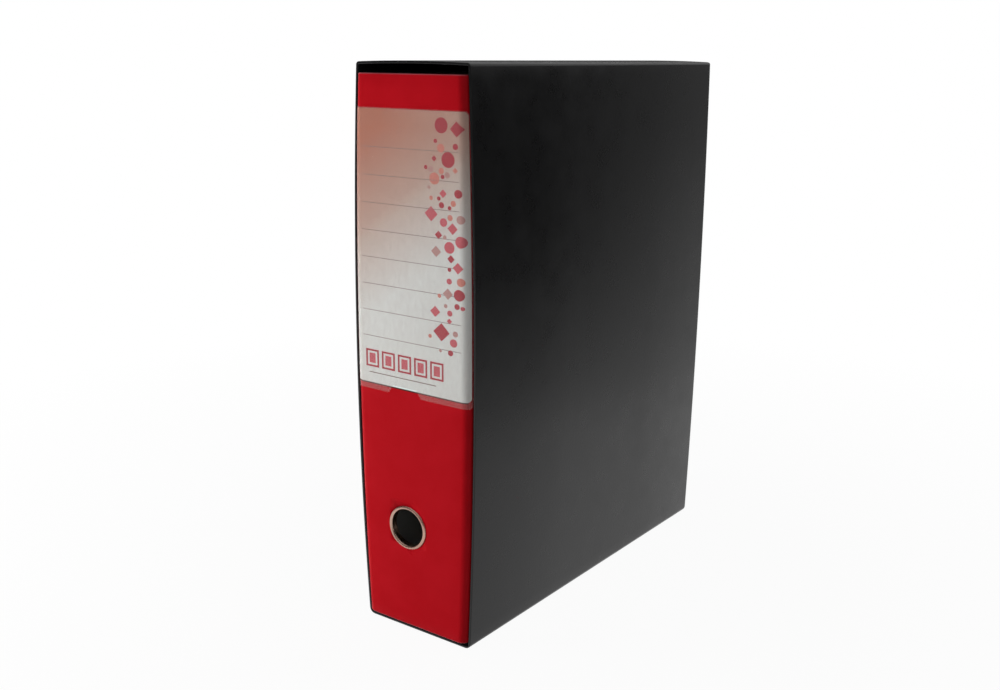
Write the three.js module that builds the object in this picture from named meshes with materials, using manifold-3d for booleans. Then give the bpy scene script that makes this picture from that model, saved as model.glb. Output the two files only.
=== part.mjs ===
// A box file: a lever-arch binder standing in a board slipcase that is open at the front.
//
// Millimetres, +Z up. The origin is the bottom centre of the closed box file. The binder's spine
// and the open side of the slipcase face -Y, and the binder's back cover, which carries the
// lever-arch mechanism, is the one on the -X side.

import * as THREE from "three";
import { mergeVertices } from "three/addons/utils/BufferGeometryUtils.js";
import Module from "manifold-3d";

const wasm = await Module();
wasm.setup();

// Slipcase
const caseWidth = 80.8;
const caseDepth = 277;
const caseHeight = 350;
const caseBoard = 1.8;
const caseTopRadius = 2;
const caseBottomRadius = 4;
const caseBackRadius = 4;
const rimRadius = 0.5;

// Bulge of the side walls at mid height, for the left and right wall, at the mouth and the back
const leftBulgeAtMouth = 6;
const leftBulgeAtBack = 1.5;
const rightBulgeAtMouth = 4.2;
const rightBulgeAtBack = 2;

// Binder cover
const sideClearance = 0.4;
const floorClearance = 0.3;
const spineProud = 3;
const coverHeight = 341.7;
const coverDepth = 275;
const coverBoard = 2;
const spineEdgeRadius = 4;
const spineInnerRadius = 2;
const hingeGrooveFromSpine = 9;
const hingeGrooveWidth = 4;
const hingeGrooveDepth = 0.8;

// Gap between pieces that touch
const seat = 0.3;

// Finger ring
const fingerHoleRadius = 12;
const fingerRingWall = 0.6;
const fingerFlangeWidth = 3.2;
const fingerFlangeThickness = 1;
const fingerRingHeight = 70.9;
const fingerRingOffset = -4.4;
const fingerWasherWidth = 3;
const fingerWasherThickness = 0.8;
const fingerLipWidth = 1.3;
const fingerLipThickness = 0.6;

// Spine label and its clear pocket
const labelBottom = 160.6;
const labelTop = 324.4;
const labelThickness = 0.3;
const labelWrapAngle = 50;
const pocketBelowLabel = 3.6;
const pocketAboveLabel = 0.6;
const pocketFilm = 0.3;
const pocketWrapAngle = 62;
const notchTopWidth = 16;
const notchBottomWidth = 22;
const notchDepth = 7;
const notchOffset = -4.5;

// Mechanism, measured from the spine board's inner face and from the foot of the base plate
const wireRadius = 1.9;
const postSpacing = 80;
const pivotFromSpine = 26;
const archReach = 44;
const wireAxisHeight = 9;
const archLegHeight = 38;
const wireBend = 4;
const crankReach = 14.7;
const crankHalfWidth = 14;

const plateFromSpine = 6;
const plateWidth = 72;
const plateLength = 136;
const plateHeight = 4.2;
const plateSheet = 1.2;
const crankWindowWidth = 12;
const crankWindowLength = 22;
const crankWindowShift = 3;

const wireClipLength = 8;
const wireClipAt = 27;
const wireClipWall = 1.4;
const wireClipFlare = 1.5;
const runningGap = 0.4;

const postRadius = 2.2;
const postFlangeRadius = 4;
const postFlangeThickness = 1.2;
const postTenonRadius = 2;
const postBore = 1.1;
const postBoreDepth = 8;
const postTip = 0.8;

const leverLength = 52;
const leverHalfWidth = 7;
const leverSheet = 1.2;
const leverRise = 3;
const leverCurlRadius = 3;
const leverCurlEnd = 153;
const leverClosedAngle = -52;
const leverPivotFromWire = 22;
const leverPivotHeight = 10;
const leverPivotEye = 4;
const cheekDrop = 2.9;
const cheekLength = 26;
const noseAlong = 8.34;
const noseDrop = 1.19;
const noseRadius = 3;
const noseTenonRadius = 0.9;
const leverPinRadius = 1.5;
const leverPinHeadRadius = 2.6;
const leverPinHead = 1;
const earSheet = 1.2;
const earGap = 0.6;
const earFlare = 3;

const rivetShankRadius = 1.6;
const rivetFlangeRadius = 4;
const rivetFlange = 0.6;
const rivetHeadRadius = 3.6;
const rivetHeadHeight = 1.2;
const rivetFromPlateEdge = 6;
const rivetFromPlateEnd = 10;
const rivetRecess = 0.9;
const rivetSeat = 0.25;
const rivetCrownRadius = 2.7;
const rivetCrown = 0.2;

const clampLength = 104;
const clampWidth = 16;
const clampSheet = 1.2;
const clampRib = 1.4;
const catchLength = 18;
const catchWidth = 12;
const catchSheet = 0.8;
const catchTab = 6;
const catchRivetRadius = 1.2;
const catchRivetHeadRadius = 2.1;
const catchRivetHead = 0.8;

// Small bevels of turned edges, and how far pieces that are made as one run into each other
const edgeBevel = 0.4;
const overlap = 0.2;
const toolReach = 1;

// Steps of round shapes
const ringSegments = 40;
const pinSegments = 20;
const shankSegments = 16;
const sunkSegments = 24;
const wireSegments = 10;
const bendSteps = 4;
const archSteps = 16;
const wallSteps = 12;
const cornerSteps = 3;
const backSteps = 4;
const coverLevels = 14;
const sheetLevels = 12;
const sheetSteps = 4;

// Sizes that follow
const mouthY = -caseDepth / 2;
const backY = caseDepth / 2;
const originShift = (leftBulgeAtMouth - rightBulgeAtMouth) / 2;
const depthShift = (spineProud + seat + fingerFlangeThickness) / 2;
const coverHalf = caseWidth / 2 - caseBoard - sideClearance;
const coverBottom = caseBoard + floorClearance;
const coverTop = coverBottom + coverHeight;
const spineFace = mouthY - spineProud;
const spineInner = spineFace + coverBoard;
const foreEdge = spineFace + coverDepth;
const middleHeight = coverBottom + coverHeight / 2;
const pocketLift = seat + labelThickness + seat;
const postFromSpine = pivotFromSpine + archReach;
const leverPivotFromSpine = pivotFromSpine + leverPivotFromWire;
const postTop = archLegHeight - seat;
const wireHole = wireRadius + runningGap;
const leverPinHole = leverPinRadius + seat;
const earInner = leverHalfWidth + earGap;
const earOuter = earInner + earSheet;

const board = { black: 0x161616, red: 0xa8141c };
const paints = {
  casePaper: new THREE.MeshStandardMaterial({ color: board.black, roughness: 0.45, metalness: 0 }),
  coverPaper: new THREE.MeshStandardMaterial({ color: board.red, roughness: 0.4, metalness: 0 }),
  card: new THREE.MeshStandardMaterial({ color: 0xe4dedb, roughness: 0.7, metalness: 0 }),
  film: new THREE.MeshStandardMaterial({ color: 0xd8d0d0, roughness: 0.1, metalness: 0 }),
  nickel: new THREE.MeshStandardMaterial({ color: 0xb9aa9c, roughness: 0.25, metalness: 1 }),
  steel: new THREE.MeshStandardMaterial({ color: 0xb8babd, roughness: 0.3, metalness: 1 }),
};

// Outward bulge of the wall on one side, at a point of the wall
function bulgeAt(side, y, z) {
  const atMouth = side < 0 ? leftBulgeAtMouth : rightBulgeAtMouth;
  const atBack = side < 0 ? leftBulgeAtBack : rightBulgeAtBack;
  const along = (y - mouthY) / caseDepth;
  const fromMiddle = (2 * z) / caseHeight - 1;
  return (atMouth + (atBack - atMouth) * along) * (1 - fromMiddle * fromMiddle);
}

// A straight-walled x moved out with the bulge of its side
function bulged(x, y, z) {
  const share = Math.min(1, Math.abs(x) / coverHalf);
  return x + Math.sign(x) * share * bulgeAt(Math.sign(x), y, z);
}

function bulgeGeometry(geometry) {
  const place = geometry.attributes.position;
  for (let i = 0; i < place.count; i += 1) {
    place.setX(i, bulged(place.getX(i), place.getY(i), place.getZ(i)));
  }
  return geometry;
}

// Positions only, shared corners merged, faces turned outward
function closed(geometry) {
  const plain = new THREE.BufferGeometry();
  plain.setAttribute("position", geometry.attributes.position.clone());
  if (geometry.index) plain.setIndex(geometry.index.clone());
  const body = mergeVertices(plain, 1e-4);
  return enclosedVolume(body) < 0 ? turnedOut(body) : body;
}

function enclosedVolume(body) {
  const place = body.attributes.position;
  const [a, b, c] = [new THREE.Vector3(), new THREE.Vector3(), new THREE.Vector3()];
  let sum = 0;
  for (let i = 0; i < body.index.count; i += 3) {
    a.fromBufferAttribute(place, body.index.getX(i));
    b.fromBufferAttribute(place, body.index.getX(i + 1));
    c.fromBufferAttribute(place, body.index.getX(i + 2));
    sum += a.dot(b.cross(c)) / 6;
  }
  return sum;
}

function turnedOut(body) {
  const order = Array.from(body.index.array);
  for (let i = 0; i < order.length; i += 3) [order[i], order[i + 1]] = [order[i + 1], order[i]];
  body.setIndex(order);
  return body;
}

function toSolid(geometry) {
  const body = closed(geometry);
  return new wasm.Manifold(new wasm.Mesh({
    numProp: 3,
    vertProperties: new Float32Array(body.attributes.position.array),
    triVerts: new Uint32Array(body.index.array),
  }));
}

function fromSolid(solid) {
  const mesh = solid.getMesh();
  const geometry = new THREE.BufferGeometry();
  geometry.setAttribute("position", new THREE.BufferAttribute(mesh.vertProperties, 3));
  geometry.setIndex(Array.from(mesh.triVerts));
  return geometry;
}

function joinAll(geometries) {
  return geometries.map(toSolid).reduce((whole, next) => whole.add(next));
}

function cutAll(solid, tools) {
  return tools.map(toSolid).reduce((left, tool) => left.subtract(tool), solid);
}

// A prism of an outline drawn in X and Y, from one height to another
function prism(shape, low, high, steps = 1, curveSegments = 8) {
  const geometry = new THREE.ExtrudeGeometry(shape, {
    depth: high - low,
    steps,
    curveSegments,
    bevelEnabled: false,
  });
  return geometry.translate(0, 0, low);
}

function outline(points) {
  return new THREE.Shape(points.map(([x, y]) => new THREE.Vector2(x, y)));
}

// A turned piece whose axis is X, from a profile of [radius, x] pairs that closes
function turnedAlongX(profile, segments) {
  const points = profile.map(([radius, x]) => new THREE.Vector2(radius, x));
  return new THREE.LatheGeometry(points, segments).rotateZ(-Math.PI / 2);
}

function turnedAlongY(profile, segments) {
  const points = profile.map(([radius, y]) => new THREE.Vector2(radius, y));
  return new THREE.LatheGeometry(points, segments);
}

function turnedAlongZ(profile, segments) {
  return turnedAlongY(profile, segments).rotateX(Math.PI / 2);
}

function rodAlongX(radius, low, high, segments = shankSegments) {
  return turnedAlongX([[0, low], [radius, low], [radius, high], [0, high]], segments);
}

// A closed skin through rings of equal count, capped at the first and the last ring
function skin(rings) {
  const places = [];
  const faces = [];
  const count = rings[0].length;
  rings.forEach((ring) => ring.forEach((p) => places.push(p.x, p.y, p.z)));
  for (let r = 0; r < rings.length - 1; r += 1) {
    for (let i = 0; i < count; i += 1) {
      const next = (i + 1) % count;
      const [a, b] = [r * count + i, r * count + next];
      faces.push(a, b, b + count, a, b + count, a + count);
    }
  }
  capRing(places, faces, rings[0], 0, true);
  capRing(places, faces, rings[rings.length - 1], (rings.length - 1) * count, false);
  const geometry = new THREE.BufferGeometry();
  geometry.setAttribute("position", new THREE.Float32BufferAttribute(places, 3));
  geometry.setIndex(faces);
  return closed(geometry);
}

function capRing(places, faces, ring, first, flipped) {
  const middle = ring.reduce((sum, p) => sum.add(p), new THREE.Vector3()).divideScalar(ring.length);
  const hub = places.length / 3;
  places.push(middle.x, middle.y, middle.z);
  ring.forEach((_, i) => {
    const [a, b] = [first + i, first + ((i + 1) % ring.length)];
    faces.push(...(flipped ? [hub, b, a] : [hub, a, b]));
  });
}

// One ring of the slipcase, set in from its outer face, at one depth
function caseRing(inset, y) {
  const half = caseWidth / 2 - inset;
  const low = inset;
  const high = caseHeight - inset;
  const upper = Math.max(caseTopRadius - 2 * inset, rimRadius);
  const lower = Math.max(caseBottomRadius - 2 * inset, rimRadius);
  const ring = [];
  const corner = (x, z, radius, start) => {
    for (let i = 0; i <= cornerSteps; i += 1) {
      const turn = start + ((Math.PI / 2) * i) / cornerSteps;
      ring.push([x + radius * Math.cos(turn), z + radius * Math.sin(turn)]);
    }
  };
  const wall = (x, from, to) => {
    for (let i = 1; i < wallSteps; i += 1) ring.push([x, from + ((to - from) * i) / wallSteps]);
  };
  corner(half - lower, low + lower, lower, -Math.PI / 2);
  wall(half, low + lower, high - upper);
  corner(half - upper, high - upper, upper, 0);
  corner(-half + upper, high - upper, upper, Math.PI / 2);
  wall(-half, high - upper, low + lower);
  corner(-half + lower, low + lower, lower, Math.PI);
  return ring.map(([x, z]) => new THREE.Vector3(bulged(x, y, z), y, z));
}

function slipcase() {
  const rings = [
    caseRing(caseBoard, backY - caseBoard),
    caseRing(caseBoard, 0),
    caseRing(caseBoard, mouthY + rimRadius),
    caseRing(caseBoard - rimRadius, mouthY),
    caseRing(rimRadius, mouthY),
    caseRing(0, mouthY + rimRadius),
    caseRing(0, 0),
  ];
  for (let i = 0; i <= backSteps; i += 1) {
    const turn = ((Math.PI / 2) * i) / backSteps;
    const y = backY - caseBackRadius * (1 - Math.sin(turn));
    rings.push(caseRing(caseBackRadius * (1 - Math.cos(turn)), y));
  }
  return skin(rings);
}

// Binder cover: front, spine and back board folded as one
function coverOutline() {
  const inner = coverHalf - coverBoard;
  const grooveNear = spineFace + hingeGrooveFromSpine;
  const grooveMiddle = grooveNear + hingeGrooveWidth / 2;
  const grooveFar = grooveNear + hingeGrooveWidth;
  const bottom = coverHalf - hingeGrooveDepth;
  const cornerY = spineFace + spineEdgeRadius;
  const innerCornerY = spineInner + spineInnerRadius;
  const shape = new THREE.Shape();
  shape.moveTo(-coverHalf, foreEdge);
  shape.lineTo(-coverHalf, grooveFar);
  shape.lineTo(-bottom, grooveMiddle);
  shape.lineTo(-coverHalf, grooveNear);
  shape.lineTo(-coverHalf, cornerY);
  shape.absarc(-coverHalf + spineEdgeRadius, cornerY, spineEdgeRadius, Math.PI, 1.5 * Math.PI, false);
  shape.lineTo(coverHalf - spineEdgeRadius, spineFace);
  shape.absarc(coverHalf - spineEdgeRadius, cornerY, spineEdgeRadius, -Math.PI / 2, 0, false);
  shape.lineTo(coverHalf, grooveNear);
  shape.lineTo(bottom, grooveMiddle);
  shape.lineTo(coverHalf, grooveFar);
  shape.lineTo(coverHalf, foreEdge);
  shape.lineTo(inner, foreEdge);
  shape.lineTo(inner, innerCornerY);
  shape.absarc(inner - spineInnerRadius, innerCornerY, spineInnerRadius, 0, -Math.PI / 2, true);
  shape.lineTo(-inner + spineInnerRadius, spineInner);
  shape.absarc(-inner + spineInnerRadius, innerCornerY, spineInnerRadius, -Math.PI / 2, -Math.PI, true);
  shape.lineTo(-inner, foreEdge);
  return shape;
}

// Left face of the back cover, outside and inside, at a point of it
function backCoverOuter(y, z) {
  return bulged(-coverHalf, y, z);
}

function backCoverInner(y, z) {
  return bulged(-coverHalf + coverBoard, y, z);
}

// The base plate lies on the highest places of the bulged board, at its far corners
const plateFarY = spineInner + plateFromSpine + plateWidth;
const plateFootX = backCoverInner(plateFarY, middleHeight + plateLength / 2) + seat;

const rivetPlaces = [];
for (const v of [plateFromSpine + rivetFromPlateEdge, plateFromSpine + plateWidth - rivetFromPlateEdge]) {
  for (const w of [-1, 1]) rivetPlaces.push([v, w * (plateLength / 2 - rivetFromPlateEnd)]);
}

function cover() {
  const boards = bulgeGeometry(prism(coverOutline(), coverBottom, coverTop, coverLevels, cornerSteps));
  const tools = [];
  const holeRadius = fingerHoleRadius + fingerRingWall + seat;
  const [near, far] = [-toolReach, coverBoard + toolReach];
  const hole = turnedAlongY([[0, near], [holeRadius, near], [holeRadius, far], [0, far]], ringSegments);
  tools.push(hole.translate(fingerRingOffset, spineFace, fingerRingHeight));
  rivetPlaces.forEach(([v, w]) => {
    const [y, z] = [spineInner + v, middleHeight + w];
    const outer = backCoverOuter(y, z);
    const shank = rodAlongX(rivetShankRadius + seat, near, far);
    const sunk = rodAlongX(rivetFlangeRadius + seat, near, rivetRecess, sunkSegments);
    tools.push(shank.translate(outer, y, z), sunk.translate(outer, y, z));
  });
  return fromSolid(cutAll(toSolid(boards), tools));
}

// Places across the straight spine, off its face by a lift, round to an angle of its side edges
function spineLine(lift, wrapAngle) {
  const radius = spineEdgeRadius + lift;
  const flat = coverHalf - spineEdgeRadius;
  const line = [];
  for (let i = 0; i <= sheetSteps; i += 1) {
    const turn = THREE.MathUtils.degToRad((wrapAngle * i) / sheetSteps);
    line.push([flat + radius * Math.sin(turn), spineFace + spineEdgeRadius - radius * Math.cos(turn)]);
  }
  return [...line.map(([x, y]) => [-x, y]).reverse(), ...line];
}

// A thin sheet that lies on the spine, follows its rounded side edges and takes up its bulge
function spineSheet(lift, thickness, wrapAngle, bottom, top) {
  const section = [...spineLine(lift + thickness, wrapAngle), ...spineLine(lift, wrapAngle).reverse()];
  const rings = [];
  for (let i = 0; i <= sheetLevels; i += 1) {
    const z = bottom + ((top - bottom) * i) / sheetLevels;
    rings.push(section.map(([x, y]) => new THREE.Vector3(bulged(x, spineFace, z), y, z)));
  }
  return prismSkin(rings);
}

// A skin whose end faces are split across the sheet, because a hub would lie outside a bent sheet
function prismSkin(rings) {
  const places = rings.flatMap((ring) => ring.flatMap((p) => [p.x, p.y, p.z]));
  const count = rings[0].length;
  const last = (rings.length - 1) * count;
  const faces = [];
  for (let r = 0; r < rings.length - 1; r += 1) {
    for (let i = 0; i < count; i += 1) {
      const [a, b] = [r * count + i, r * count + ((i + 1) % count)];
      faces.push(a, b, b + count, a, b + count, a + count);
    }
  }
  for (let i = 0; i < count / 2 - 1; i += 1) {
    const [a, b, c, d] = [i, i + 1, count - 2 - i, count - 1 - i];
    faces.push(a, c, b, a, d, c, last + a, last + b, last + c, last + a, last + c, last + d);
  }
  const geometry = new THREE.BufferGeometry();
  geometry.setAttribute("position", new THREE.Float32BufferAttribute(places, 3));
  geometry.setIndex(faces);
  return closed(geometry);
}

function spineLabel() {
  return spineSheet(seat, labelThickness, labelWrapAngle, labelBottom, labelTop);
}

// The clear pocket is open at the top and has a notch for the thumb at the bottom
function labelPocket() {
  const low = labelBottom - pocketBelowLabel;
  const film = spineSheet(pocketLift, pocketFilm, pocketWrapAngle, low, labelTop + pocketAboveLabel);
  const notch = prism(outline([
    [-notchBottomWidth / 2, -toolReach],
    [notchBottomWidth / 2, -toolReach],
    [notchTopWidth / 2, notchDepth],
    [-notchTopWidth / 2, notchDepth],
  ]), -toolReach, toolReach).rotateX(Math.PI / 2);
  notch.translate(notchOffset, spineFace - pocketLift, low);
  return fromSolid(toSolid(film).subtract(toSolid(notch)));
}

// The ring is pressed through the spine and turned over a washer inside
function fingerRing() {
  const barrel = fingerHoleRadius + fingerRingWall;
  const front = -seat - fingerFlangeThickness;
  const edge = fingerHoleRadius + fingerFlangeWidth;
  const lip = coverBoard + seat + fingerWasherThickness + seat;
  const inner = fingerHoleRadius;
  const round = fingerFlangeThickness / 2;
  const profile = [
    [inner, lip + fingerLipThickness],
    [inner, front + round],
    [inner + round, front],
    [edge - round, front],
    [edge, front + round],
    [edge, -seat],
    [barrel, -seat],
    [barrel, lip],
    [barrel + fingerLipWidth, lip],
    [barrel + fingerLipWidth, lip + fingerLipThickness],
    [inner, lip + fingerLipThickness],
  ];
  return turnedAlongY(profile, ringSegments);
}

function fingerWasher() {
  const hole = fingerHoleRadius + fingerRingWall + seat;
  const near = coverBoard + seat;
  const far = near + fingerWasherThickness;
  const rim = hole + fingerWasherWidth;
  return turnedAlongY([[hole, near], [rim, near], [rim, far], [hole, far], [hole, near]], ringSegments);
}

// Base plate: a steel sheet with turned-down long edges, ears for the lever and clips for the wire
function basePlate() {
  const near = plateFromSpine;
  const far = near + plateWidth;
  const under = plateHeight - plateSheet;
  const section = outline([
    [0, near], [plateHeight, near], [plateHeight, far], [0, far],
    [0, far - plateSheet], [under, far - plateSheet], [under, near + plateSheet], [0, near + plateSheet],
  ]);
  const parts = [prism(section, -plateLength / 2, plateLength / 2)];
  const foot = plateHeight - plateSheet / 2;
  const eyeShape = (height, place, radius, flare, hole) => {
    const shape = new THREE.Shape();
    shape.moveTo(foot, place - radius - flare);
    shape.lineTo(height, place - radius);
    shape.absarc(height, place, radius, -Math.PI / 2, Math.PI / 2, false);
    shape.lineTo(foot, place + radius + flare);
    const bore = new THREE.Path();
    bore.absarc(height, place, hole, 0, 2 * Math.PI, true);
    shape.holes.push(bore);
    return shape;
  };
  const ear = eyeShape(leverPivotHeight, leverPivotFromSpine, leverPivotEye, earFlare, leverPinHole);
  const clip = eyeShape(wireAxisHeight, pivotFromSpine, wireHole + wireClipWall, wireClipFlare,
    wireHole);
  parts.push(prism(ear, earInner, earOuter, 1, 12), prism(ear, -earOuter, -earInner, 1, 12));
  for (const side of [-1, 1]) {
    const at = side * wireClipAt;
    parts.push(prism(clip, at - wireClipLength / 2, at + wireClipLength / 2, 1, 12));
  }
  const tools = rivetPlaces.map(([v, w]) => {
    return rodAlongX(rivetShankRadius + seat, -toolReach, plateHeight + toolReach).translate(0, v, w);
  });
  for (const side of [-1, 1]) {
    const tenonHole = rodAlongX(postTenonRadius + seat, -toolReach, plateHeight + toolReach);
    tools.push(tenonHole.translate(0, postFromSpine, (side * postSpacing) / 2));
  }
  const windowNear = leverPivotFromSpine - crankWindowLength / 2 - crankWindowShift;
  const windowFar = windowNear + crankWindowLength;
  const windowTop = plateHeight + toolReach;
  const window = outline([
    [-toolReach, windowNear], [windowTop, windowNear], [windowTop, windowFar], [-toolReach, windowFar],
  ]);
  tools.push(prism(window, -crankWindowWidth / 2, crankWindowWidth / 2));
  return fromSolid(cutAll(joinAll(parts), tools));
}

// A rivet from the sunk flange outside the back cover to its head on the base plate
function baseRivet(v, w) {
  const outer = backCoverOuter(spineInner + v, middleHeight + w) - plateFootX;
  const flangeLow = outer + rivetSeat;
  const flangeHigh = flangeLow + rivetFlange;
  const headLow = plateHeight + rivetSeat;
  const headHigh = headLow + rivetHeadHeight;
  const profile = [
    [0, flangeLow],
    [rivetFlangeRadius, flangeLow],
    [rivetFlangeRadius, flangeHigh - rivetCrown],
    [rivetShankRadius, flangeHigh],
    [rivetShankRadius, headLow],
    [rivetHeadRadius, headLow],
    [rivetCrownRadius, headHigh - rivetCrown],
    [0, headHigh],
  ];
  return turnedAlongX(profile, pinSegments).translate(0, v, w);
}

// A hollow post on a flange, with a tenon through the plate
function post() {
  const flangeLow = plateHeight + seat;
  const flangeHigh = flangeLow + postFlangeThickness;
  const boreFloor = postTop - postBoreDepth;
  const profile = [
    [0, plateSheet],
    [postTenonRadius, plateSheet],
    [postTenonRadius, flangeLow],
    [postFlangeRadius, flangeLow],
    [postFlangeRadius, flangeHigh - edgeBevel],
    [postFlangeRadius - edgeBevel, flangeHigh],
    [postRadius, flangeHigh],
    [postRadius, postTop - postTip],
    [postRadius - edgeBevel, postTop],
    [postBore, postTop],
    [postBore, boreFloor],
    [0, boreFloor],
  ];
  return turnedAlongX(profile, pinSegments);
}

// A wire's centre line: straight runs, round bends and the two arches
class BentWire extends THREE.Curve {
  constructor(points) {
    super();
    this.points = points;
  }

  getPointAt(u, target = new THREE.Vector3()) {
    return target.copy(this.points[Math.round(u * (this.points.length - 1))]);
  }

  getTangentAt(u, target = new THREE.Vector3()) {
    const i = Math.round(u * (this.points.length - 1));
    const before = this.points[Math.max(i - 1, 0)];
    const after = this.points[Math.min(i + 1, this.points.length - 1)];
    return target.subVectors(after, before).normalize();
  }
}

// Points of a path with its inner corners rounded
function roundedPath(corners, radius, steps) {
  const points = [corners[0]];
  for (let i = 1; i < corners.length - 1; i += 1) {
    const towards = corners[i - 1].clone().sub(corners[i]).normalize();
    const away = corners[i + 1].clone().sub(corners[i]).normalize();
    const centre = corners[i].clone().addScaledVector(towards, radius).addScaledVector(away, radius);
    for (let s = 0; s <= steps; s += 1) {
      const turn = ((Math.PI / 2) * s) / steps;
      const point = centre.clone().addScaledVector(away, -radius * Math.cos(turn));
      points.push(point.addScaledVector(towards, -radius * Math.sin(turn)));
    }
  }
  points.push(corners[corners.length - 1]);
  return points;
}

function archWire() {
  const v = (place, height, w) => new THREE.Vector3(height, place, w);
  const half = postSpacing / 2;
  const leg = pivotFromSpine;
  const crank = pivotFromSpine + crankReach;
  const axis = wireAxisHeight;
  const cornerPoints = roundedPath([
    v(leg, archLegHeight, half),
    v(leg, axis, half),
    v(leg, axis, crankHalfWidth),
    v(crank, axis, crankHalfWidth),
    v(crank, axis, -crankHalfWidth),
    v(leg, axis, -crankHalfWidth),
    v(leg, axis, -half),
    v(leg, archLegHeight, -half),
  ], wireBend, bendSteps);
  const arch = (w) => {
    const points = [];
    for (let i = 0; i < archSteps; i += 1) {
      const turn = (Math.PI * i) / archSteps;
      const place = pivotFromSpine + archReach / 2 + (archReach / 2) * Math.cos(turn);
      points.push(v(place, archLegHeight + (archReach / 2) * Math.sin(turn), w));
    }
    return points;
  };
  const points = [...arch(half), ...cornerPoints, ...arch(-half).reverse()];
  const section = new THREE.Shape().absarc(0, 0, wireRadius, 0, 2 * Math.PI, false);
  return new THREE.ExtrudeGeometry(section, {
    steps: points.length - 1,
    curveSegments: wireSegments,
    bevelEnabled: false,
    extrudePath: new BentWire(points),
  });
}

// Lever: a bent sheet with a curled end and two cheeks, drawn along +X from its pivot
function lever() {
  const top = leverRise + leverSheet;
  const curlX = leverLength - leverCurlRadius;
  const curlY = leverRise + leverCurlRadius;
  const sheet = new THREE.Shape();
  sheet.moveTo(leverPivotEye, leverRise);
  sheet.lineTo(curlX, leverRise);
  const curlEnd = THREE.MathUtils.degToRad(leverCurlEnd);
  sheet.absarc(curlX, curlY, leverCurlRadius, -Math.PI / 2, curlEnd, false);
  sheet.absarc(curlX, curlY, leverCurlRadius - leverSheet, curlEnd, -Math.PI / 2, true);
  sheet.lineTo(leverPivotEye, top);
  const cheek = new THREE.Shape();
  const low = -Math.asin(cheekDrop / leverPivotEye);
  cheek.moveTo(cheekLength, top);
  cheek.lineTo(0, top - overlap);
  cheek.lineTo(0, leverPivotEye);
  cheek.absarc(0, 0, leverPivotEye, Math.PI / 2, 2 * Math.PI + low, false);
  cheek.lineTo(cheekLength / 2, -cheekDrop);
  cheek.lineTo(cheekLength, leverRise + overlap);
  const pivotHole = new THREE.Path().absarc(0, 0, leverPinHole, 0, 2 * Math.PI, true);
  const noseHole = new THREE.Path().absarc(noseAlong, -noseDrop, noseTenonRadius + seat, 0, 2 * Math.PI, true);
  cheek.holes.push(pivotHole, noseHole);
  const cheekInner = leverHalfWidth - leverSheet;
  const tilt = THREE.MathUtils.degToRad(leverClosedAngle);
  return fromSolid(joinAll([
    prism(sheet, -leverHalfWidth, leverHalfWidth, 1, 12),
    prism(cheek, cheekInner, leverHalfWidth, 1, 12),
    prism(cheek, -leverHalfWidth, -cheekInner, 1, 12),
  ])).rotateZ(tilt);
}

function nosePin() {
  const shoulder = leverHalfWidth - leverSheet - seat;
  const profile = [
    [0, -leverHalfWidth], [noseTenonRadius, -leverHalfWidth], [noseTenonRadius, -shoulder],
    [noseRadius, -shoulder], [noseRadius, shoulder], [noseTenonRadius, shoulder],
    [noseTenonRadius, leverHalfWidth], [0, leverHalfWidth],
  ];
  const tilt = THREE.MathUtils.degToRad(leverClosedAngle);
  return turnedAlongZ(profile, pinSegments).translate(noseAlong, -noseDrop, 0).rotateZ(tilt);
}

function leverPin() {
  const headAt = earOuter + seat;
  const end = headAt + leverPinHead;
  const profile = [
    [0, -end], [leverPinHeadRadius - edgeBevel, -end], [leverPinHeadRadius, -end + edgeBevel],
    [leverPinHeadRadius, -headAt], [leverPinRadius, -headAt], [leverPinRadius, headAt],
    [leverPinHeadRadius, headAt], [leverPinHeadRadius, end - edgeBevel],
    [leverPinHeadRadius - edgeBevel, end], [0, end],
  ];
  return turnedAlongZ(profile, pinSegments);
}

// Paper clamp: a ribbed strip on the two posts
const clampLow = plateHeight + seat + postFlangeThickness + seat;
const clampTop = clampLow + clampSheet;
const catchAt = postSpacing / 2;

function stadium(length, width) {
  const shape = new THREE.Shape();
  const run = (length - width) / 2;
  shape.absarc(run, 0, width / 2, -Math.PI / 2, Math.PI / 2, false);
  shape.absarc(-run, 0, width / 2, Math.PI / 2, 1.5 * Math.PI, false);
  return shape;
}

function clampBar() {
  const strip = prism(stadium(clampLength, clampWidth), clampLow, clampTop, 1, 10);
  const ribLength = postSpacing - (2 * catchLength) / 3 - 2;
  const rib = prism(stadium(ribLength, clampWidth / 4), clampTop - overlap, clampTop + clampRib, 1, 6);
  const tools = [-1, 1].map((side) => {
    const hole = new THREE.Shape().absarc(side * catchAt, 0, postRadius + runningGap, 0, 2 * Math.PI, false);
    return prism(hole, 0, clampTop + toolReach, 1, 10);
  });
  const rivetHole = new THREE.Shape().absarc(
    catchAt + catchLength / 3, 0, catchRivetRadius + seat, 0, 2 * Math.PI, false);
  tools.push(prism(rivetHole, 0, clampTop + toolReach, 1, 8));
  return fromSolid(cutAll(joinAll([strip, rib]), tools));
}

// Spring catch that grips the upper post, with a finger tab at its end
function clampCatch() {
  const low = clampTop + seat;
  const near = catchAt - catchLength / 3;
  const far = catchAt + (2 * catchLength) / 3;
  const side = outline([
    [near, low], [far, low], [far, low + catchTab], [far - catchSheet, low + catchTab],
    [far - catchSheet, low + catchSheet], [near, low + catchSheet],
  ]);
  const strip = prism(side, -catchWidth / 2, catchWidth / 2).rotateX(Math.PI / 2);
  const post = new THREE.Shape().absarc(catchAt, 0, postRadius + runningGap, 0, 2 * Math.PI, false);
  const rivet = new THREE.Shape().absarc(
    catchAt + catchLength / 3, 0, catchRivetRadius + seat, 0, 2 * Math.PI, false);
  const high = low + catchSheet + toolReach;
  const tools = [prism(post, 0, high, 1, 10), prism(rivet, 0, high, 1, 8)];
  return fromSolid(cutAll(toSolid(strip), tools));
}

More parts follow.
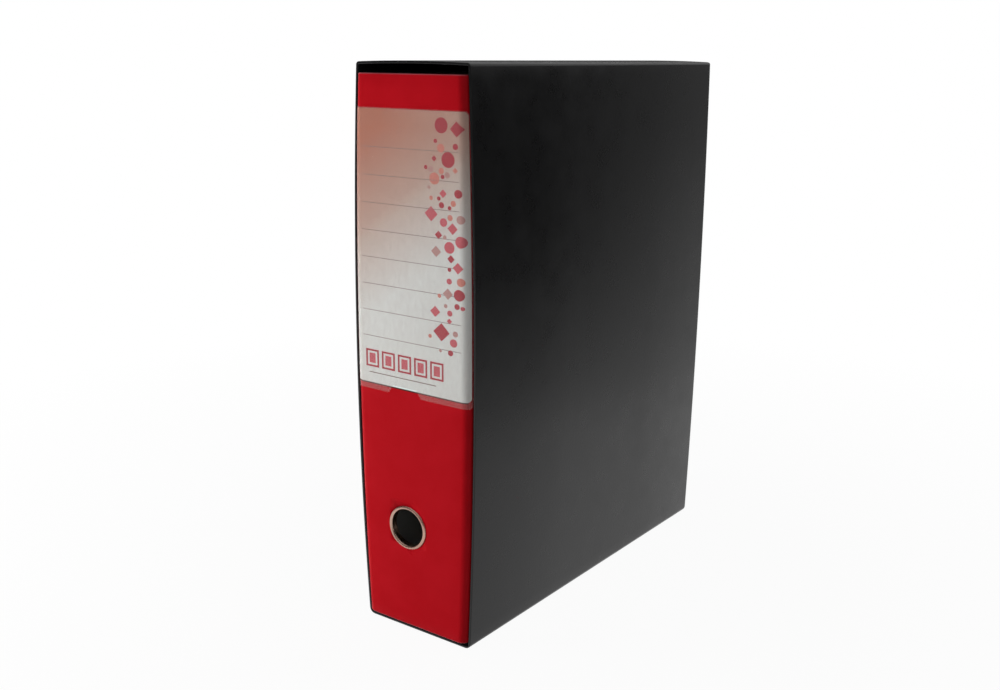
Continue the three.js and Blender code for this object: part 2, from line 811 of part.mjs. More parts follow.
function catchRivet() {
  const low = clampLow + overlap / 2;
  const high = clampTop + seat + catchSheet + rivetSeat;
  const top = high + catchRivetHead;
  const profile = [
    [0, low], [catchRivetRadius, low], [catchRivetRadius, high],
    [catchRivetHeadRadius, high], [catchRivetHeadRadius - edgeBevel, top], [0, top],
  ];
  return turnedAlongZ(profile, shankSegments).translate(catchAt + catchLength / 3, 0, 0);
}

// Scene graph
const boxFile = new THREE.Group();
boxFile.position.set(originShift, depthShift, 0);

function add(parent, name, geometry, material) {
  const mesh = new THREE.Mesh(closed(geometry), material);
  mesh.name = name;
  parent.add(mesh);
  return mesh;
}

add(boxFile, "slipcase", slipcase(), paints.casePaper);

const binder = new THREE.Group();
boxFile.add(binder);
add(binder, "cover", cover(), paints.coverPaper);
add(binder, "spine_label", spineLabel(), paints.card);
add(binder, "label_pocket", labelPocket(), paints.film);

const ringPlace = new THREE.Group();
ringPlace.position.set(fingerRingOffset, spineFace, fingerRingHeight);
binder.add(ringPlace);
add(ringPlace, "finger_ring", fingerRing(), paints.nickel);
add(ringPlace, "finger_ring_washer", fingerWasher(), paints.nickel);

const mechanism = new THREE.Group();
mechanism.position.set(plateFootX, spineInner, middleHeight);
binder.add(mechanism);
add(mechanism, "base_plate", basePlate(), paints.steel);
rivetPlaces.forEach(([v, w], i) => add(mechanism, `base_rivet_${i + 1}`, baseRivet(v, w), paints.steel));
for (const [name, side] of [["post_upper", 1], ["post_lower", -1]]) {
  const mesh = add(mechanism, name, post(), paints.steel);
  mesh.position.set(0, postFromSpine, (side * postSpacing) / 2);
}
add(mechanism, "arch_wire", archWire(), paints.steel);

const leverPivot = new THREE.Group();
leverPivot.position.set(leverPivotHeight, leverPivotFromSpine, 0);
mechanism.add(leverPivot);
add(leverPivot, "lever", lever(), paints.steel);
add(leverPivot, "lever_nose_pin", nosePin(), paints.steel);
add(leverPivot, "lever_pin", leverPin(), paints.steel);

// The clamp is drawn flat, with its length along X and its height along Z, then stood on the posts
const clamp = new THREE.Group();
clamp.position.set(0, postFromSpine, 0);
clamp.quaternion.setFromRotationMatrix(new THREE.Matrix4().makeBasis(
  new THREE.Vector3(0, 0, 1), new THREE.Vector3(0, -1, 0), new THREE.Vector3(1, 0, 0)));
mechanism.add(clamp);
add(clamp, "compressor_bar", clampBar(), paints.steel);
add(clamp, "compressor_catch", clampCatch(), paints.steel);
add(clamp, "catch_rivet", catchRivet(), paints.steel);

export default boxFile;
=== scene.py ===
"""Looks of the box file: a red lever arch binder standing in a black board slipcase.

Sizes inside the classes are in millimetres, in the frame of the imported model; meshes are made in metres.
"""

import logging
import math
import random
from dataclasses import dataclass
from enum import Enum
from typing import Callable, Iterable, Optional, Sequence

import bmesh
import bpy
from mathutils import Matrix, Vector


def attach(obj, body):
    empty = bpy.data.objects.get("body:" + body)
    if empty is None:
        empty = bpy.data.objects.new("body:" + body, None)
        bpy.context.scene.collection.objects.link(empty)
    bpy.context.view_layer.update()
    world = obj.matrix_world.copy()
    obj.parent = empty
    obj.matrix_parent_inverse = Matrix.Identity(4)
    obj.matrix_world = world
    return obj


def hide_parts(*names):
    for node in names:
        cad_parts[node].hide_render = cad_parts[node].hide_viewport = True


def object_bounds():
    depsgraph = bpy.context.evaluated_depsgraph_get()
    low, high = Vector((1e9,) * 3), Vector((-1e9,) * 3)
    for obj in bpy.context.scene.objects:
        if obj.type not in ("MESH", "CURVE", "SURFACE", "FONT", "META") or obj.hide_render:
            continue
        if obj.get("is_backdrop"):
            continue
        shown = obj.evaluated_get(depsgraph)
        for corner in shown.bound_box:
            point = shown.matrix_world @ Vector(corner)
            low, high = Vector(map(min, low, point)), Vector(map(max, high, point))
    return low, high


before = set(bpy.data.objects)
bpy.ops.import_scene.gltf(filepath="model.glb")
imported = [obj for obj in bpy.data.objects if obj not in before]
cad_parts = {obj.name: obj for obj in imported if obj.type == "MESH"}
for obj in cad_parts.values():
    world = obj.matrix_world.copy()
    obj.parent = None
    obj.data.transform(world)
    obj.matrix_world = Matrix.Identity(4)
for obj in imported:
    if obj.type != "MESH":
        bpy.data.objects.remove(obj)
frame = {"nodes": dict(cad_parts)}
CAD_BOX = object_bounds()

LOG = logging.getLogger("box_file")
MM = 0.001

Colour = tuple[float, float, float]
Ring = list[Vector]
Print = tuple[list[Vector], list[list[int]]]

# Material indices on the case and on the cover
# EDGE marks the cover's top and bottom edge faces, which get a painted highlight: a lighter pinkish red for light
# caught on the rounded edges
PAPER, INSIDE, EDGE = 0, 1, 2


class Body(Enum):
    """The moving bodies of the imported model."""

    CASE = "case"
    BINDER = "binder"
    ARCH = "arch"
    LEVER = "lever"
    COMPRESSOR = "compressor"


class Slot(Enum):
    """Names of material slots."""

    CASE_PAPER = "case_paper"
    COVER_PAPER = "cover_paper"
    LABEL_CARD = "label_card"
    POCKET_FILM = "pocket_film"
    RING_NICKEL = "ring_nickel"
    PLATED_STEEL = "plated_steel"


class Motif(Enum):
    """The shapes printed down the side of the label."""

    DISC = "disc"
    LOZENGE = "lozenge"


def linear(red: int, green: int, blue: int) -> Colour:
    """Turns an 8-bit screen colour into scene-linear values.

    Args:
        red: Red, 0 to 255.
        green: Green, 0 to 255.
        blue: Blue, 0 to 255.

    Returns:
        The linear colour.
    """
    def channel(value: int) -> float:
        share = value / 255
        return share / 12.92 if share <= 0.04045 else ((share + 0.055) / 1.055) ** 2.4

    return channel(red), channel(green), channel(blue)


def rgba(colour: Colour) -> tuple[float, float, float, float]:
    """Adds a full alpha to a colour."""
    return (*colour, 1.0)


# Shader node groups and finishes


class Graph:
    """A thin helper round a node tree, so that shaders read as short lines."""

    def __init__(self, tree: bpy.types.NodeTree) -> None:
        """Keeps the tree.

        Args:
            tree: The node tree that nodes are added to.
        """
        self.tree = tree

    def add(self, kind: str, **settings: object) -> bpy.types.Node:
        """Adds a node and sets its properties or unlinked inputs by name.

        Args:
            kind: Blender's type name of the node.
            **settings: Node properties, or input values with spaces written as underscores.

        Returns:
            The new node.
        """
        node = self.tree.nodes.new(kind)
        for key, value in settings.items():
            if hasattr(node, key):
                setattr(node, key, value)
            else:
                node.inputs[key.replace("_", " ")].default_value = value
        return node

    def link(self, source: bpy.types.NodeSocket, target: bpy.types.NodeSocket) -> None:
        """Links two sockets."""
        self.tree.links.new(source, target)

    def mix_colour(self, share: bpy.types.NodeSocket, first: object, second: object) -> bpy.types.NodeSocket:
        """Mixes two colours by a share.

        Args:
            share: Socket of the share of the second colour.
            first: A socket or a linear colour.
            second: A socket or a linear colour.

        Returns:
            The mixed colour's socket.
        """
        node = self.tree.nodes.new("ShaderNodeMix")
        node.data_type = "RGBA"
        self.link(share, node.inputs["Factor"])
        for name, value in (("A", first), ("B", second)):
            socket = next(s for s in node.inputs if s.name == name and s.type == "RGBA")
            if isinstance(value, bpy.types.NodeSocket):
                self.link(value, socket)
            else:
                socket.default_value = rgba(value)
        return next(s for s in node.outputs if s.type == "RGBA")

    def remap(self, value: bpy.types.NodeSocket, low: float, high: float, to_low: float,
              to_high: float) -> bpy.types.NodeSocket:
        """Maps a value from one range onto another, clamped.

        Args:
            value: Socket of the value.
            low: Start of the range read.
            high: End of the range read.
            to_low: Result at the start.
            to_high: Result at the end.

        Returns:
            The mapped value's socket.
        """
        node = self.tree.nodes.new("ShaderNodeMapRange")
        self.link(value, node.inputs["Value"])
        for name, number in (("From Min", low), ("From Max", high), ("To Min", to_low), ("To Max", to_high)):
            node.inputs[name].default_value = number
        return node.outputs["Result"]

    def work_out(self, operation: str, *values: bpy.types.NodeSocket | float) -> bpy.types.NodeSocket:
        """Works out one sum on numbers.

        Args:
            operation: Blender's name of the sum.
            *values: Sockets or plain numbers, in the order of the node's inputs.

        Returns:
            The result's socket.
        """
        node = self.tree.nodes.new("ShaderNodeMath")
        node.operation = operation
        for socket, value in zip(node.inputs, values):
            if isinstance(value, bpy.types.NodeSocket):
                self.link(value, socket)
            else:
                socket.default_value = value
        return node.outputs["Value"]

    def emboss(self, height: bpy.types.NodeSocket, strength: float, depth: float,
               shader: bpy.types.Node) -> None:
        """Embosses a shader's surface by a height.

        Args:
            height: Socket of the height, 0 to 1.
            strength: Share of the effect.
            depth: Depth in millimetres.
            shader: The shader whose normal it bends.
        """
        bump = self.add("ShaderNodeBump", Strength=strength)
        bump.inputs["Distance"].default_value = depth * MM
        self.link(height, bump.inputs["Height"])
        self.link(bump.outputs["Normal"], shader.inputs["Normal"])

    def seen_or_mirrored(self) -> bpy.types.NodeSocket:
        """Tells the rays that look from those that light.

        Returns:
            A socket with 1 for camera, glossy and transmission rays and 0 for the rest.
        """
        path = self.add("ShaderNodeLightPath")
        mirrored = self.work_out("MAXIMUM", path.outputs["Is Glossy Ray"], path.outputs["Is Transmission Ray"])
        return self.work_out("MAXIMUM", path.outputs["Is Camera Ray"], mirrored)


def new_group(name: str, inputs: dict[str, float], outputs: dict[str, str]) -> tuple[
        bpy.types.NodeTree, Graph, bpy.types.Node, bpy.types.Node]:
    """Makes an empty shader node group with named sockets.

    Args:
        name: The group's name.
        inputs: Float inputs and their usual values.
        outputs: Output names and their socket types.

    Returns:
        The group, a helper for it, its input node and its output node.
    """
    tree = bpy.data.node_groups.new(name, "ShaderNodeTree")
    for label, value in inputs.items():
        socket = tree.interface.new_socket(label, in_out="INPUT", socket_type="NodeSocketFloat")
        socket.default_value = value
    for label, kind in outputs.items():
        tree.interface.new_socket(label, in_out="OUTPUT", socket_type=kind)
    graph = Graph(tree)
    return tree, graph, graph.add("NodeGroupInput"), graph.add("NodeGroupOutput")


def paper_grain_group() -> bpy.types.NodeTree:
    """Builds the embossed grain of covering paper: pressed cells, fine fibres and a slow mottle.

    Returns:
        A group with Scale in, and Height and Mottle out.
    """
    fibre_fineness, fibre_height = 2.6, 0.35
    tree, graph, entry, leave = new_group(
        "paper_grain", {"Scale": 900.0}, {"Height": "NodeSocketFloat", "Mottle": "NodeSocketFloat"})
    place = graph.add("ShaderNodeTexCoord").outputs["Object"]
    cells = graph.add("ShaderNodeTexVoronoi", feature="SMOOTH_F1")
    fibres = graph.add("ShaderNodeTexNoise", Detail=4.0)
    slow = graph.add("ShaderNodeTexNoise", Scale=46.0, Detail=5.0, Roughness=0.62)
    graph.link(place, cells.inputs["Vector"])
    graph.link(place, fibres.inputs["Vector"])
    graph.link(place, slow.inputs["Vector"])
    graph.link(entry.outputs["Scale"], cells.inputs["Scale"])
    graph.link(graph.work_out("MULTIPLY", entry.outputs["Scale"], fibre_fineness), fibres.inputs["Scale"])
    height = graph.work_out("MULTIPLY_ADD", fibres.outputs["Fac"], fibre_height, cells.outputs["Distance"])
    graph.link(height, leave.inputs["Height"])
    graph.link(slow.outputs["Fac"], leave.inputs["Mottle"])
    return tree


def edge_wear_group() -> bpy.types.NodeTree:
    """Builds a mask of rubbed edges from the surface's sharpness, broken up by noise.

    Returns:
        A group with Start, End and Break in, and Mask out.
    """
    tree, graph, entry, leave = new_group(
        "edge_wear", {"Start": 0.53, "End": 0.6, "Break": 160.0}, {"Mask": "NodeSocketFloat"})
    sharp = graph.add("ShaderNodeNewGeometry").outputs["Pointiness"]
    mapped = graph.add("ShaderNodeMapRange")
    graph.link(sharp, mapped.inputs["Value"])
    graph.link(entry.outputs["Start"], mapped.inputs["From Min"])
    graph.link(entry.outputs["End"], mapped.inputs["From Max"])
    noise = graph.add("ShaderNodeTexNoise", Detail=3.0)
    graph.link(graph.add("ShaderNodeTexCoord").outputs["Object"], noise.inputs["Vector"])
    graph.link(entry.outputs["Break"], noise.inputs["Scale"])
    broken = graph.remap(noise.outputs["Fac"], 0.35, 0.65, 0.15, 1.0)
    graph.link(graph.work_out("MULTIPLY", mapped.outputs["Result"], broken), leave.inputs["Mask"])
    return tree


def rolled_metal_group() -> bpy.types.NodeTree:
    """Builds the faint drawn lines and cloudy plating of sheet and wire.

    Returns:
        A group with Scale in, and Roughness and Tone out.
    """
    tree, graph, entry, leave = new_group(
        "rolled_metal", {"Scale": 300.0}, {"Roughness": "NodeSocketFloat", "Tone": "NodeSocketFloat"})
    place = graph.add("ShaderNodeTexCoord").outputs["Object"]
    drawn = graph.add("ShaderNodeMapping")
    drawn.inputs["Scale"].default_value = (6.0, 6.0, 0.25)
    graph.link(place, drawn.inputs["Vector"])
    lines = graph.add("ShaderNodeTexNoise", Detail=3.0)
    graph.link(drawn.outputs["Vector"], lines.inputs["Vector"])
    graph.link(entry.outputs["Scale"], lines.inputs["Scale"])
    cloud = graph.add("ShaderNodeTexNoise", Scale=70.0, Detail=4.0)
    graph.link(place, cloud.inputs["Vector"])
    graph.link(graph.remap(lines.outputs["Fac"], 0.3, 0.7, 0.2, 0.38), leave.inputs["Roughness"])
    graph.link(cloud.outputs["Fac"], leave.inputs["Tone"])
    return tree


@dataclass(frozen=True)
class NodeGroups:
    """The shared effects, each built once."""

    grain: bpy.types.NodeTree
    wear: bpy.types.NodeTree
    metal: bpy.types.NodeTree

    @classmethod
    def build(cls) -> "NodeGroups":
        """Builds every group."""
        return cls(paper_grain_group(), edge_wear_group(), rolled_metal_group())


def new_material(name: str) -> tuple[bpy.types.Material, Graph, bpy.types.Node]:
    """Makes a material with a Principled shader.

    Args:
        name: The material's name.

    Returns:
        The material, a helper for its tree and its shader node.
    """
    material = bpy.data.materials.new(name)
    material.use_nodes = True
    shader = material.node_tree.nodes["Principled BSDF"]
    return material, Graph(material.node_tree), shader


@dataclass(frozen=True)
class PaperFinish:
    """Covering paper on board, or printed card."""

    name: str
    colour: Colour
    mottle_colour: Colour
    worn_colour: Colour
    roughness: float = 0.4
    roughness_spread: float = 0.08
    specular: float = 0.5
    grain_scale: float = 900.0
    grain_depth: float = 0.03
    grain_strength: float = 0.3
    wear_start: float = 0.54
    wear_end: float = 0.62
    wear_break: float = 160.0

    def build(self, groups: NodeGroups) -> bpy.types.Material:
        """Builds the material.

        Args:
            groups: The shared effects.

        Returns:
            The material.
        """
        material, graph, shader = new_material(self.name)
        grain = graph.add("ShaderNodeGroup", node_tree=groups.grain)
        grain.inputs["Scale"].default_value = self.grain_scale
        wear = graph.add("ShaderNodeGroup", node_tree=groups.wear)
        wear.inputs["Start"].default_value = self.wear_start
        wear.inputs["End"].default_value = self.wear_end
        wear.inputs["Break"].default_value = self.wear_break
        share = graph.remap(grain.outputs["Mottle"], 0.35, 0.65, 0.0, 1.0)
        plain = graph.mix_colour(share, self.colour, self.mottle_colour)
        worn = graph.mix_colour(wear.outputs["Mask"], plain, self.worn_colour)
        graph.link(worn, shader.inputs["Base Color"])
        low = self.roughness - self.roughness_spread
        high = self.roughness + self.roughness_spread
        graph.link(graph.remap(grain.outputs["Mottle"], 0.3, 0.7, low, high), shader.inputs["Roughness"])
        graph.emboss(grain.outputs["Height"], self.grain_strength, self.grain_depth, shader)
        shader.inputs["Specular IOR Level"].default_value = self.specular
        return material


@dataclass(frozen=True)
class LabelFinish:
    """Card whose ground colour runs from a warm tint at the upper left to near white."""

    name: str
    warm: Colour
    middle: Colour
    pale: Colour
    low: float
    high: float
    left: float
    right: float
    at_left: float = 0.06
    at_right: float = -0.4
    middle_band: tuple[float, float] = (0.0, 0.5)
    warm_band: tuple[float, float] = (0.42, 0.95)
    roughness: float = 0.5
    roughness_spread: float = 0.06
    specular: float = 0.15

    def build(self) -> bpy.types.Material:
        """Builds the material.

        Returns:
            The material.
        """
        material, graph, shader = new_material(self.name)
        place = graph.add("ShaderNodeSeparateXYZ")
        graph.link(graph.add("ShaderNodeTexCoord").outputs["Object"], place.inputs["Vector"])
        up = graph.remap(place.outputs["Z"], self.low * MM, self.high * MM, 0.0, 1.0)
        across = graph.remap(place.outputs["X"], self.left * MM, self.right * MM, self.at_left, self.at_right)
        warmth = graph.work_out("ADD", up, across)
        first = graph.remap(warmth, *self.middle_band, 0.0, 1.0)
        second = graph.remap(warmth, *self.warm_band, 0.0, 1.0)
        ground = graph.mix_colour(first, self.pale, self.middle)
        graph.link(graph.mix_colour(second, ground, self.warm), shader.inputs["Base Color"])
        noise = graph.add("ShaderNodeTexNoise", Scale=1500.0, Detail=3.0)
        low, high = self.roughness - self.roughness_spread, self.roughness + self.roughness_spread
        graph.link(graph.remap(noise.outputs["Fac"], 0.3, 0.7, low, high), shader.inputs["Roughness"])
        graph.emboss(noise.outputs["Fac"], 0.1, 0.02, shader)
        shader.inputs["Specular IOR Level"].default_value = self.specular
        return material


@dataclass(frozen=True)
class InkAndPaintedShadowFinish:
    """A flat colour with the slight unevenness of ink on card: the printed colours, and a painted shadow strip."""

    name: str
    colour: Colour
    deeper: Colour
    specular: float = 0.15

    def build(self) -> bpy.types.Material:
        """Builds the material.

        Returns:
            The material.
        """
        material, graph, shader = new_material(self.name)
        noise = graph.add("ShaderNodeTexNoise", Scale=420.0, Detail=2.0)
        share = graph.remap(noise.outputs["Fac"], 0.35, 0.65, 0.0, 1.0)
        graph.link(graph.mix_colour(share, self.colour, self.deeper), shader.inputs["Base Color"])
        graph.link(graph.remap(noise.outputs["Fac"], 0.3, 0.7, 0.4, 0.5), shader.inputs["Roughness"])
        shader.inputs["Specular IOR Level"].default_value = self.specular
        return material


@dataclass(frozen=True)
class PlatedFinish:
    """Nickel-plated steel."""

    name: str
    colour: Colour
    duller: Colour
    scale: float = 300.0

    def build(self, groups: NodeGroups) -> bpy.types.Material:
        """Builds the material.

        Args:
            groups: The shared effects.

        Returns:
            The material.
        """
        material, graph, shader = new_material(self.name)
        metal = graph.add("ShaderNodeGroup", node_tree=groups.metal)
        metal.inputs["Scale"].default_value = self.scale
        share = graph.remap(metal.outputs["Tone"], 0.35, 0.65, 0.0, 1.0)
        graph.link(graph.mix_colour(share, self.colour, self.duller), shader.inputs["Base Color"])
        graph.link(metal.outputs["Roughness"], shader.inputs["Roughness"])
        shader.inputs["Metallic"].default_value = 1.0
        return material


@dataclass(frozen=True)
class FilmFinish:
    """Clear soft film, mostly see-through with a bright gloss."""

    name: str
    colour: Colour
    alpha: float
    roughness: float = 0.14

    def build(self) -> bpy.types.Material:
        """Builds the material.

        Returns:
            The material.
        """
        material, graph, shader = new_material(self.name)
        noise = graph.add("ShaderNodeTexNoise", Scale=35.0, Detail=2.0)
        low, high = self.roughness - 0.05, self.roughness + 0.08
        graph.link(graph.remap(noise.outputs["Fac"], 0.3, 0.7, low, high), shader.inputs["Roughness"])
        hazy = graph.remap(noise.outputs["Fac"], 0.3, 0.7, self.alpha * 0.85, self.alpha * 1.15)
        graph.link(hazy, shader.inputs["Alpha"])
        shader.inputs["Base Color"].default_value = rgba(self.colour)
        graph.emboss(noise.outputs["Fac"], 0.25, 0.2, shader)
        return material


@dataclass(frozen=True)
class Finishes:
    """Every finish on the box file."""

    case_paper: bpy.types.Material
    case_inside: bpy.types.Material
    cover_paper: bpy.types.Material
    cover_inside: bpy.types.Material
    cover_edge: bpy.types.Material
    label_card: bpy.types.Material
    film: bpy.types.Material
    ring: bpy.types.Material
    steel: bpy.types.Material
    ruling: bpy.types.Material
    shade: bpy.types.Material
    inks: tuple[bpy.types.Material, ...]

    @classmethod
    def build(cls, label: "SpineLabel") -> "Finishes":
        """Builds every finish.

        Args:
            label: The label, whose size the card's warm-to-white ground follows.

        Returns:
            The finishes.
        """
        groups = NodeGroups.build()
        case_paper = PaperFinish(
            "case_paper", linear(23, 23, 24), linear(28, 28, 29), linear(60, 60, 60),
            roughness=0.3, roughness_spread=0.05, specular=0.31, grain_scale=750.0, grain_depth=0.06,
            grain_strength=0.5)
        case_inside = PaperFinish(
            "case_inside", linear(20, 20, 21), linear(26, 26, 27), linear(40, 40, 40),
            roughness=0.75, specular=0.05, grain_scale=1500.0)
        cover_paper = PaperFinish(
            "cover_paper", linear(182, 16, 28), linear(176, 13, 24), linear(186, 70, 76),
            roughness=0.45, specular=0.04, grain_scale=1400.0, grain_depth=0.03,
            wear_start=0.58, wear_end=0.7)
        # Painted highlight: a lighter pinkish red for the cover's top and bottom edge faces, standing in for light
        # caught on the rounded edges
        cover_edge = PaperFinish(
            "cover_edge", linear(172, 62, 72), linear(164, 50, 60), linear(196, 128, 128),
            roughness=0.5, specular=0.25, grain_scale=1400.0)
        cover_inside = PaperFinish(
            "cover_inside", linear(196, 196, 192), linear(188, 188, 184), linear(214, 214, 210),
            roughness=0.62, specular=0.3, grain_scale=1300.0)
        inks = tuple(InkAndPaintedShadowFinish(*values).build() for values in (
            ("ink_crimson", linear(176, 28, 52), linear(166, 22, 46)),
            ("ink_rose", linear(206, 92, 104), linear(198, 84, 96)),
            ("ink_salmon", linear(214, 138, 122), linear(208, 130, 114)),
            ("ink_dust", linear(190, 152, 146), linear(184, 146, 140)),
        ))
        card = LabelFinish(
            "label_card", linear(181, 117, 88), linear(196, 180, 165), linear(223, 236, 232),
            label.tint_low, label.tint_high, label.left, label.right)
        return cls(
            case_paper=case_paper.build(groups),
            case_inside=case_inside.build(groups),
            cover_paper=cover_paper.build(groups),
            cover_inside=cover_inside.build(groups),
            cover_edge=cover_edge.build(groups),
            label_card=card.build(),
            film=FilmFinish("pocket_film", linear(214, 170, 168), 0.11).build(),
            ring=PlatedFinish("ring_nickel", linear(194, 162, 146), linear(184, 150, 134)).build(groups),
            steel=PlatedFinish("plated_steel", linear(196, 198, 200), linear(184, 186, 188)).build(groups),
            ruling=InkAndPaintedShadowFinish("ink_grey", linear(132, 124, 120), linear(126, 118, 114)).build(),
            # Painted shadow: a dark umber for the strip under the label card's lower edge, standing in for the
            # card's shadow on the spine
            shade=InkAndPaintedShadowFinish("painted_shadow_umber", linear(70, 36, 34), linear(62, 30, 28)).build(),
            inks=inks,
        )


# Mesh helpers


def make_piece(name: str, places: Iterable[Vector], faces: Sequence[Sequence[int]],
               materials: Sequence[bpy.types.Material], slots: Optional[Sequence[int]] = None,
               smooth_angle: float = 35.0) -> bpy.types.Object:
    """Makes an object from points in millimetres.

    Args:
        name: The piece's name.
        places: Points of the mesh.
        faces: Corners of each face.
        materials: Materials of the piece.
        slots: Material index of each face, all 0 when left out.
        smooth_angle: Edges bent by less than this many degrees are shaded smooth.

    Returns:
        The new object, linked to the scene.
    """
    mesh = bpy.data.meshes.new(name)
    mesh.from_pydata([tuple(p * MM) for p in places], [], [list(f) for f in faces])
    for material in materials:
        mesh.materials.append(material)
    if slots is not None:
        mesh.polygons.foreach_set("material_index", list(slots))
    piece = bpy.data.objects.new(name, mesh)
    bpy.context.scene.collection.objects.link(piece)
    tidy_mesh(mesh, smooth_angle)
    return piece


def tidy_mesh(mesh: bpy.types.Mesh, smooth_angle: float) -> None:
    """Turns faces outward and shades gentle edges smooth.

    Args:
        mesh: The mesh to work on.
        smooth_angle: Edges bent by less than this many degrees are smooth.
    """
    work = bmesh.new()
    work.from_mesh(mesh)
    bmesh.ops.recalc_face_normals(work, faces=work.faces)
    limit = math.radians(smooth_angle)
    for polygon in work.faces:
        polygon.smooth = True
    for edge in work.edges:
        edge.smooth = len(edge.link_faces) == 2 and edge.calc_face_angle(0.0) < limit
    work.to_mesh(mesh)
    work.free()


def skin_faces(ring_count: int, ring_size: int, closed: bool = False) -> list[list[int]]:
    """Lists the quads of a skin through rings of equal size.

    Args:
        ring_count: How many rings there are.
        ring_size: How many points each ring has.
        closed: Whether the last ring joins the first.

    Returns:
        The faces, ring by ring.
    """
    faces = []
    for r in range(ring_count if closed else ring_count - 1):
        here, there = r * ring_size, (r + 1) % ring_count * ring_size
        for i in range(ring_size):
            after = (i + 1) % ring_size
            faces.append([here + i, here + after, there + after, there + i])
    return faces


def ladder_faces(steps: int) -> list[list[int]]:
    """Lists the quads of a strip whose points come in pairs, one pair to a rung.

    Args:
        steps: How many quads there are.

    Returns:
        The faces, in order.
    """
    return [[2 * i, 2 * i + 2, 2 * i + 3, 2 * i + 1] for i in range(steps)]


def arc(centre: tuple[float, float], radius: float, start: float, end: float,
        steps: int) -> list[tuple[float, float]]:
    """Points on an arc.

    Args:
        centre: Centre of the arc.
        radius: Its radius.
        start: First angle in degrees.
        end: Last angle in degrees.
        steps: How many steps it takes.

    Returns:
        steps + 1 points.
    """
    points = []
    for i in range(steps + 1):
        turn = math.radians(start + (end - start) * i / steps)
        points.append((centre[0] + radius * math.cos(turn), centre[1] + radius * math.sin(turn)))
    return points


def lathe_y(name: str, profile: Sequence[tuple[float, float]], centre: Vector, material: bpy.types.Material,
            segments: int = 96, lean: float = 0.0) -> bpy.types.Object:
    """Turns a closed profile round an axis that runs along Y.

    Args:
        name: The piece's name.
        profile: Closed loop of (radius, y) pairs, y counted from the centre.
        centre: Centre of the piece in millimetres.
        material: Its finish.
        segments: Steps round the axis.
        lean: How far Y grows with X, for a part that sits on a wall out of square.

    Returns:
        The new object.
    """
    places = []
    for s in range(segments):
        turn = 2 * math.pi * s / segments
        for radius, y in profile:
            across = radius * math.cos(turn)
            places.append(centre + Vector((across, y + lean * across, radius * math.sin(turn))))
    return make_piece(name, places, skin_faces(segments, len(profile), closed=True), [material], smooth_angle=40.0)


def smooth_shading_group() -> bpy.types.NodeTree:
    """Builds a geometry node group that shades gentle edges smooth and leaves the mesh as it is.

    Returns:
        The group for a Nodes modifier.
    """
    tree = bpy.data.node_groups.new("smooth_by_bend", "GeometryNodeTree")
    tree.interface.new_socket("Geometry", in_out="INPUT", socket_type="NodeSocketGeometry")
    tree.interface.new_socket("Geometry", in_out="OUTPUT", socket_type="NodeSocketGeometry")
    entry = tree.nodes.new("NodeGroupInput")
    leave = tree.nodes.new("NodeGroupOutput")
    weld = tree.nodes.new("GeometryNodeMergeByDistance")
    weld.inputs["Distance"].default_value = 0.002 * MM
    faces = tree.nodes.new("GeometryNodeSetShadeSmooth")
    edges = tree.nodes.new("GeometryNodeSetShadeSmooth")
    edges.domain = "EDGE"
    edges.inputs["Shade Smooth"].default_value = False
    bend = tree.nodes.new("GeometryNodeInputMeshEdgeAngle")
    compare = tree.nodes.new("FunctionNodeCompare")
    compare.operation = "GREATER_THAN"
    compare.inputs[1].default_value = math.radians(38)
    tree.links.new(entry.outputs[0], weld.inputs["Geometry"])
    tree.links.new(weld.outputs["Geometry"], faces.inputs["Geometry"])
    tree.links.new(faces.outputs["Geometry"], edges.inputs["Geometry"])
    tree.links.new(bend.outputs["Unsigned Angle"], compare.inputs[0])
    tree.links.new(compare.outputs["Result"], edges.inputs["Selection"])
    tree.links.new(edges.outputs["Geometry"], leave.inputs[0])
    return tree


# The box file


@dataclass(frozen=True)
class Walls:
    """Sizes of the slipcase and the way its side walls bulge."""

    width: float = 80.8
    depth: float = 277.0
    height: float = 350.0
    board: float = 1.8
    top_radius: float = 2.0
    bottom_radius: float = 4.0
    back_radius: float = 4.0
    left_at_mouth: float = 6.0
    left_at_back: float = 1.5
    right_at_mouth: float = 4.2
    right_at_back: float = 2.0
    full_bulge_at: float = 38.2
    depth_shift: float = 2.15
    skew: float = 0.07
    skew_from: float = -12.0
    mouth_shift: float = 1.0
    top_bow: float = 0.8

    @property
    def shift(self) -> float:
        """How far the case's middle lies from the origin, in X."""
        return (self.left_at_mouth - self.right_at_mouth) / 2

    @property
    def mouth(self) -> float:
        """Y of the open side."""
        return self.depth_shift - self.depth / 2

    @property
    def back(self) -> float:
        """Y of the closed side."""
        return self.depth_shift + self.depth / 2

    def place(self, x: float, y: float, z: float, part: float = 1.0) -> Vector:
        """Moves a point of the straight-walled case to its real place.

        Args:
            x: X of the straight-walled case.
            y: Y.
            z: Z.
            part: Share of the walls' bulge that the point takes.

        Returns:
            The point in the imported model's frame.
        """
        mouth, back = (self.left_at_mouth, self.left_at_back)
        if x > 0:
            mouth, back = (self.right_at_mouth, self.right_at_back)
        along = (y - self.mouth) / self.depth
        from_middle = 2 * z / self.height - 1
        reach = part * (mouth + (back - mouth) * along) * (1 - from_middle * from_middle)
        share = min(1.0, abs(x) / self.full_bulge_at)
        askew = self.skew * (x - self.skew_from) * (1 - along)
        sideways = math.copysign(share * reach, x) + self.shift + self.mouth_shift * (1 - along)
        return Vector((x + sideways, y + askew, z))

    def bow(self, x: float, z: float) -> float:
        """Height by which the top board bows up between its edges.

        Args:
            x: X of the straight-walled case.
            z: Z.

        Returns:
            The rise, none in the lower half.
        """
        across = x / (self.width / 2)
        return self.top_bow * (1 - across * across) if z > self.height / 2 else 0.0


